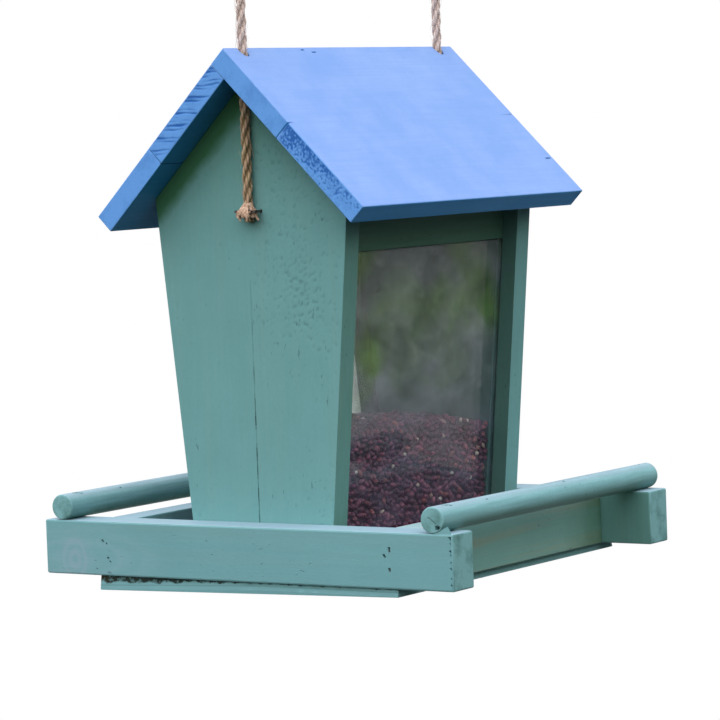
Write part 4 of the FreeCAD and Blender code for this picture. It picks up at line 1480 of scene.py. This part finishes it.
def scatter_tree(grain, seed):
    """Node tree that covers a surface with grains and keeps the surface under them."""
    group = bpy.data.node_groups.new("scatter_grains", "GeometryNodeTree")
    for way in ("INPUT", "OUTPUT"):
        group.interface.new_socket("Geometry", in_out=way, socket_type="NodeSocketGeometry")
    ground = group.nodes.new("NodeGroupInput").outputs[0]
    open_side = add(group, "GeometryNodeInputNamedAttribute", {"Name": "open_side"},
                    data_type="FLOAT").outputs[0]
    points = add(group, "GeometryNodeDistributePointsOnFaces", {
        "Mesh": ground, "Distance Min": GRAIN_SPACING, "Density Max": GRAINS_PER_AREA,
        "Density Factor": open_side, "Seed": seed}, distribute_method="POISSON")
    shape = add(group, "GeometryNodeObjectInfo", {"Object": grain}).outputs["Geometry"]
    tone = random_value(group, "FLOAT", 0.0, 1.0, seed + 3)
    size = random_value(group, "FLOAT_VECTOR", (LEAST_SIZE,) * 3, (MOST_SIZE,) * 3, seed + 2)
    size = work_out_place(group, "MULTIPLY", size, spread(group, tone, PALE_FROM, PALE_TO, 1.0, PALE_SIZE))
    grains = add(group, "GeometryNodeInstanceOnPoints", {
        "Points": points.outputs["Points"], "Instance": shape, "Scale": size.outputs["Vector"],
        "Rotation": random_value(group, "FLOAT_VECTOR", (0, 0, 0), (math.tau,) * 3, seed + 1)})
    toned = add(group, "GeometryNodeStoreNamedAttribute", {
        "Geometry": grains.outputs[0], "Name": "tone", "Value": tone}, data_type="FLOAT", domain="INSTANCE")
    loose = add(group, "GeometryNodeRealizeInstances", {"Geometry": toned.outputs[0]})
    both = group.nodes.new("GeometryNodeJoinGeometry")
    group.links.new(ground, both.inputs[0])
    group.links.new(loose.outputs[0], both.inputs[0])
    add(group, "NodeGroupOutput", {0: both.outputs[0]})
    return group


print("grains stand", GRAIN_SPACING, "m apart")

# %% [markdown]
# ## The heap
# Each seed wedge of the frame becomes a ground that is half a grain smaller, because the grains fill it
# up again. The heap in the hopper is uneven on top and has run down a little towards both gables.

# %% Heap
GROUND_STEP = 6 * MM
NEAR_DIP, FAR_DIP = 4.5 * MM, 7 * MM
NEAR_SHARE, FAR_SHARE = 0.45, 0.5
# Drop of the whole top and height of its bumps, in millimetres
TOP_DROP, TOP_BUMPS = 3.4, 2.4


def seed_ground(node, lean):
    """Copy of a seed wedge, half a grain smaller, with an uneven top that falls towards the far gable."""
    low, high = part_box(node)
    bm = copy_of(node)
    slice_faces(bm, bm.faces, RIGHT, GROUND_STEP)
    bm.normal_update()
    open_side = bm.faces.layers.float.new("open_side")
    for face in bm.faces:
        face[open_side] = float(face.normal.z > -ROUGHLY and abs(face.normal.x) < ROUGHLY)
    moves = [(vert, vert.normal * vert.calc_shell_factor() * GRAIN_WIDTH / 2) for vert in bm.verts]
    for vert, move in moves:
        vert.co -= move
        share = (vert.co.z - low.z) / (high.z - low.z)
        along = (vert.co.x - low.x) / (high.x - low.x)
        if share > 0.5 and lean:
            near_dip = NEAR_DIP * max(0.0, NEAR_SHARE - along) / NEAR_SHARE
            dip = near_dip + lean * max(0.0, along - FAR_SHARE) / FAR_SHARE
            vert.co.z -= dip + MM * (TOP_DROP + TOP_BUMPS * noise.noise(vert.co * 60))
    mesh = bpy.data.meshes.new("seed_ground")
    bm.to_mesh(mesh)
    bm.free()
    return mesh


print("heap dips", NEAR_DIP, "and", FAR_DIP, "m towards the gables")

# %% [markdown]
# ## Loose seed
# The scatter is a modifier on a holder object. Its result is read back as one plain mesh of real grains,
# and the holder goes.

# %% Loose seed
def loose_seed(name, node, seed, lean=0.0):
    """Grains over a seed wedge, as one mesh."""
    holder = bpy.data.objects.new("seed_holder", seed_ground(node, lean))
    scene.collection.objects.link(holder)
    grain = grain_shape()
    cover = holder.modifiers.new("grains", "NODES")
    cover.node_group = scatter_tree(grain, seed)
    evaluated = holder.evaluated_get(bpy.context.evaluated_depsgraph_get())
    mesh = bpy.data.meshes.new_from_object(evaluated)
    bpy.data.objects.remove(holder)
    bpy.data.objects.remove(grain)
    mesh.materials.clear()
    return to_piece(name, mesh, "feeder", [node], [seed_coat], ROUND_ANGLE)


loose_seed("seed_in_hopper", "hopper_seed", 3, FAR_DIP)
loose_seed("seed_at_front", "front_seed_spill", 17)
loose_seed("seed_at_rear", "rear_seed_spill", 29)

# %% [markdown]
# ## Light and background
# The feeder hangs in even daylight: bright from the whole sky and dim from below, with no sharp
# shadows. The world gives that light, and for the camera, mirrors and clear panes it is plain white.

# %% World
SKY, GROUND = 2.7, 0.015
HORIZON, HIGH_SKY = 0.08, 0.8
SKY_LEAN = Vector((-0.18, 0.02, 0.983))
world = bpy.data.worlds.new("studio")
scene.world = world
world.use_nodes = True
tree = world.node_tree
tree.nodes.clear()
ray = add(tree, "ShaderNodeTexCoord").outputs["Generated"]
way_up = work_out_place(tree, "DOT_PRODUCT", ray, SKY_LEAN).outputs["Value"]
level = spread(tree, way_up, HORIZON, HIGH_SKY, GROUND, SKY)
tint = laid_over(tree, (0.96, 1.0, 0.72, 1), (0.95, 0.98, 1.04, 1), way_up, 0.0, 0.7)
light = add(tree, "ShaderNodeBackground", {"Color": tint, "Strength": level})
plain = add(tree, "ShaderNodeBackground", {"Color": (1, 1, 1, 1), "Strength": 1.0})
rays = add(tree, "ShaderNodeLightPath")
seen = rays.outputs["Is Camera Ray"]
for kind in ("Is Glossy Ray", "Is Transmission Ray"):
    seen = work_out(tree, "MAXIMUM", seen, rays.outputs[kind])
backdrop = add(tree, "ShaderNodeMixShader", {0: seen, 1: light.outputs[0], 2: plain.outputs[0]})
add(tree, "ShaderNodeOutputWorld", {"Surface": backdrop.outputs[0]})
print("sky", SKY, "ground", GROUND)

# %% [markdown]
# ## Floor
# A pale floor lies well below the hanging feeder, holds its soft shadow, and fades to white at its rim.
# It is part of the stage, not of the feeder.

# %% Floor
FLOOR_DROP, FLOOR_RADIUS = 0.28, 0.85
bm = bmesh.new()
bmesh.ops.create_circle(bm, cap_ends=True, segments=96, radius=FLOOR_RADIUS)
bmesh.ops.translate(bm, vec=(0, 0, -FLOOR_DROP), verts=bm.verts)
floor_mesh = bpy.data.meshes.new("floor")
bm.to_mesh(floor_mesh)
bm.free()
floor_paint, tree = new_material("pale_floor")
place = object_place(tree)
flat = work_out_place(tree, "MULTIPLY", place, (1, 1, 0)).outputs["Vector"]
reach = work_out_place(tree, "LENGTH", flat).outputs["Value"]
rim = spread(tree, reach, 0.35 * FLOOR_RADIUS, 0.98 * FLOOR_RADIUS)
pale = add(tree, "ShaderNodeBsdfDiffuse", {"Color": (0.82, 0.82, 0.82, 1)})
white = add(tree, "ShaderNodeEmission", {"Color": (1, 1, 1, 1), "Strength": 1.0})
show(tree, add(tree, "ShaderNodeMixShader", {0: rim, 1: pale.outputs[0], 2: white.outputs[0]}))
floor = bpy.data.objects.new("floor", floor_mesh)
floor.data.materials.append(floor_paint)
floor.visible_diffuse = False
scene.collection.objects.link(floor)
print("floor", FLOOR_DROP, "m below the feeder")
